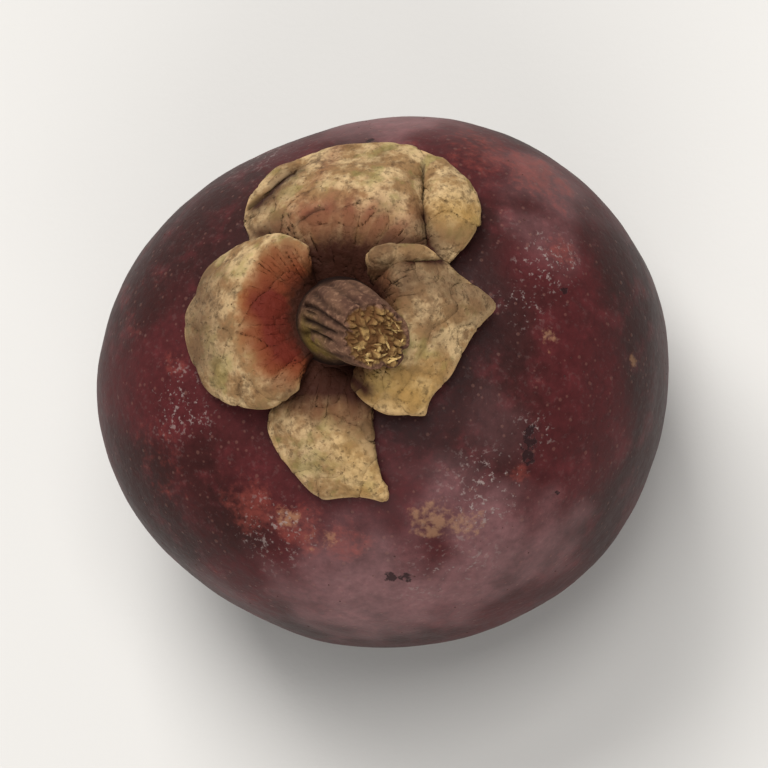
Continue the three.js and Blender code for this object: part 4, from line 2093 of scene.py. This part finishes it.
    def frames(self, ahead: np.ndarray) -> tuple[np.ndarray, np.ndarray]:
        """Carries two directions square to the stalk along it without a twist.

        Args:
            ahead: Which way the stalk runs at each step.

        Returns:
            The two directions at each step.
        """
        one = np.zeros_like(ahead)
        one[0] = (1.0, 0.0, 0.0)
        for step in range(1, len(ahead)):
            carried = one[step - 1] - ahead[step] * np.dot(one[step - 1], ahead[step])
            one[step] = carried / np.linalg.norm(carried)
        return one, np.cross(ahead, one)

    def joined(
        self, side: np.ndarray, end: np.ndarray, marks: dict[str, np.ndarray], tuft: np.ndarray
    ) -> bpy.types.Object:
        """Joins the side, the torn end and the flat foot.

        Args:
            side: The rings of points of the bark.
            end: The rings of points of the torn end.
            marks: The numbers for the finish at each point of the bark. They are 0 on the end.
            tuft: The number that tells the tufts of the end apart.

        Returns:
            One closed mesh.
        """
        rings = len(side) + len(end)
        faces = grid_faces(rings, self.around, closed=True).tolist()
        tip = list(range((rings - 1) * self.around, rings * self.around))
        foot = list(range(self.around))[::-1]
        no_end, no_side = np.zeros(end[..., 0].size), np.zeros(side[..., 0].size)
        both = {name: np.concatenate([values.ravel(), no_end]) for name, values in marks.items()}
        both["cut"] = np.concatenate([no_side, self.end.cut(end).ravel()])
        both["tuft"] = np.concatenate([no_side, tuft.ravel()])
        points = np.concatenate([side.reshape(-1, 3), end.reshape(-1, 3)]) * MM
        made = linked("stem_bark", smooth_mesh("stem_bark", points, faces + [tip, foot], both))
        made.data.materials.append(self.finish.material())
        return made


# ---- Stigma ----


@dataclass
class Stigma:
    """The scar on the blossom end: a flat rosette of rounded lobes, which the fruit stands on."""

    finish: CorkFinish
    lobes: int = 6
    reach: float = 6.9 * MM
    notch: float = 0.3
    notch_width: float = 9.0
    height: float = 1.35 * MM
    square: float = 4.0
    groove: float = 0.45 * MM
    groove_narrow: float = 5.0
    groove_start: Band = (0.05, 0.3)
    rough: float = 0.16 * MM
    rough_cloud: Cloud = Cloud(1.1 * MM, 2, 3.0, 0.6)
    under: Band = (0.0, -0.4)
    around: int = 240
    rings: int = 60

    def build(self) -> bpy.types.Object:
        """Grows the rosette from a ball that is pressed flat and scalloped, with a groove between its lobes.

        Returns:
            The rosette.
        """
        r = Recipe("stigma_rosette")
        x, y, z = r.split(r.place())
        azimuth = r.math("ARCTAN2", y, x)
        from_notch = r.math("PINGPONG", azimuth, math.pi / self.lobes) / math.radians(self.notch_width)
        near = -(from_notch * from_notch)
        gap, line = r.math("EXPONENT", near), r.math("EXPONENT", near * self.groove_narrow)
        flat = (x * x + y * y) ** 0.5
        length = (flat**self.square + r.math("ABSOLUTE", z) ** self.square) ** (1 / self.square)
        share, tall = flat / length, z / length
        out = share * r.size("Reach", self.reach) * (1 - gap * r.size("Notch", self.notch))
        half = r.size("Height", self.height) * 0.5
        east, north = out * r.math("COSINE", azimuth), out * r.math("SINE", azimuth)
        lined = line * r.between(share, *self.groove_start) * r.size("Groove", self.groove)
        rough = r.grain(r.join(east, north, 0.0), self.rough_cloud) * r.size("Roughness", self.rough)
        sunk = (lined + rough) * r.between(z, *self.under)
        shape = r.placed(r.ball(self.around, self.rings), r.join(east, north, half + half * tall + sunk))
        return r.grow(shape, self.finish.material())


# ---- Studio ----


@dataclass(frozen=True)
class Lamp:
    """A soft box: where it stands as seen from the fruit, how far off and how large it is, and how strong."""

    name: str
    azimuth: float
    elevation: float
    distance: float
    size: float
    power: float


@dataclass
class Studio:
    """A plain pale floor, soft boxes round the fruit and a camera that looks down on the calyx."""

    centre: Vector
    fruit_width: float
    tilt: float = 17.5
    tilt_azimuth: float = -54.0
    lens: float = 800.0
    sensor: float = 36.0
    fill: float = 0.74
    floor_size: float = 12.0
    floor_colour: Colour = paint("c9c6c1")
    floor_clouds: Cloud = Cloud(60 * MM, 1)
    floor_shading: Ramp = Ramp(0.97, 0.06)
    floor_grain: Cloud = Cloud(0.8 * MM, 2)
    floor_relief: float = 0.02 * MM
    floor_roughness: float = 0.7
    sky_colour: Colour = paint("f2f4f8")
    sky: float = 0.3
    lamps: tuple[Lamp, ...] = (
        Lamp("key", 110, 58, 1.9, 0.95, 30.0),
        Lamp("front", -80, 38, 1.9, 1.2, 14.0),
        Lamp("overhead", 20, 82, 2.2, 0.9, 20.0),
    )

    def build(self) -> None:
        """Sets the floor, the lamps, the sky and the camera."""
        self.floor()
        for lamp in self.lamps:
            self.light(lamp)
        world = bpy.data.worlds.new("studio")
        world.use_nodes = True
        background = world.node_tree.nodes["Background"]
        background.inputs["Color"].default_value = self.sky_colour
        background.inputs["Strength"].default_value = self.sky
        bpy.context.scene.world = world
        self.camera()

    def floor(self) -> None:
        """Lays the floor at the height that the fruit stands on."""
        half = self.floor_size / 2
        corners = [(-half, -half, 0), (half, -half, 0), (half, half, 0), (-half, half, 0)]
        mesh = bpy.data.meshes.new("floor")
        mesh.from_pydata(corners, [], [(0, 1, 2, 3)])
        s = Shader("floor_paper", self.floor_colour)
        s.shade(self.floor_shading.of(s.clouds(self.floor_clouds)))
        mesh.materials.append(s.close(self.floor_roughness, s.clouds(self.floor_grain), self.floor_relief))
        linked("floor", mesh)

    def light(self, lamp: Lamp) -> None:
        """Hangs a soft box, turned towards the fruit.

        Args:
            lamp: The soft box.
        """
        turn, rise = math.radians(lamp.azimuth), math.radians(lamp.elevation)
        towards = Vector((math.cos(turn) * math.cos(rise), math.sin(turn) * math.cos(rise), math.sin(rise)))
        data = bpy.data.lights.new(lamp.name, "AREA")
        data.size = lamp.size
        data.energy = lamp.power
        made = linked(lamp.name, data)
        made.location = self.centre + towards * lamp.distance
        made.rotation_euler = towards.to_track_quat("Z", "Y").to_euler()

    def camera(self) -> None:
        """Looks down on the fruit, a little from the side that the stalk leans to, with +Y upwards."""
        tilt, turn = math.radians(self.tilt), math.radians(self.tilt_azimuth)
        back = Vector((math.sin(tilt) * math.cos(turn), math.sin(tilt) * math.sin(turn), math.cos(tilt)))
        right = Vector((0, 1, 0)).cross(back).normalized()
        data = bpy.data.cameras.new("camera")
        data.lens = self.lens
        data.sensor_width = self.sensor
        distance = self.fruit_width / self.fill * self.lens / self.sensor
        made = linked("camera", data)
        made.location = self.centre + back * distance
        made.rotation_euler = Matrix((right, back.cross(right), back)).transposed().to_euler()
        bpy.context.scene.camera = made
        bpy.context.scene.view_settings.view_transform = "Standard"


# ---- Putting it together ----


def put(piece: bpy.types.Object, node: str | None = None) -> None:
    """Fixes a piece to the fruit.

    Args:
        piece: The piece.
        node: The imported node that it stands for, if any.
    """
    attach(piece, BODY)
    if node:
        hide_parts(node)
    LOG.info("%s: %d faces", piece.name, len(piece.data.polygons))


def main() -> None:
    """Loads the frame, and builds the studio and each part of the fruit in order."""
    logging.basicConfig(level=logging.INFO, format="%(name)s: %(message)s")
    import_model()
    low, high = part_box("rind")
    Studio(centre=(low + high) / 2, fruit_width=high.x - low.x).build()
    rind = Rind(RindFinish())
    skin = rind.build()
    put(skin, "rind")
    dots = CorkFinish("lenticel_cork", paint("5c3a34"), paint("3c211f"))
    lenticels = Scatter("rind_lenticels", dots, density=5e4, radius=0.14 * MM, seed=3)
    put(lenticels.build(skin.data))
    leather = SepalFinish().material()
    grit = CorkFinish("sepal_grit", paint("8f7347"), paint("60482c"))
    for sepal in calyx():
        piece = sepal.build(rind, leather)
        put(piece, sepal.node)
        specks = Scatter(sepal.node + "_specks", grit, density=1.6e5, radius=0.12 * MM, seed=sepal.seed)
        put(specks.build(piece.data))
    fibres = Fibres(CorkFinish("stem_strand", paint("c8a86c"), paint("6a4c28"), 1.1 * MM))
    stalk, strands = Stem(StemFinish(), fibres, TornEnd()).build()
    put(stalk, "stem")
    put(strands)
    cork = CorkFinish("stigma_cork", paint("5f4433"), paint("33211a"), 1.2 * MM)
    put(Stigma(cork).build(), "stigma")


if __name__ == "__main__":
    main()
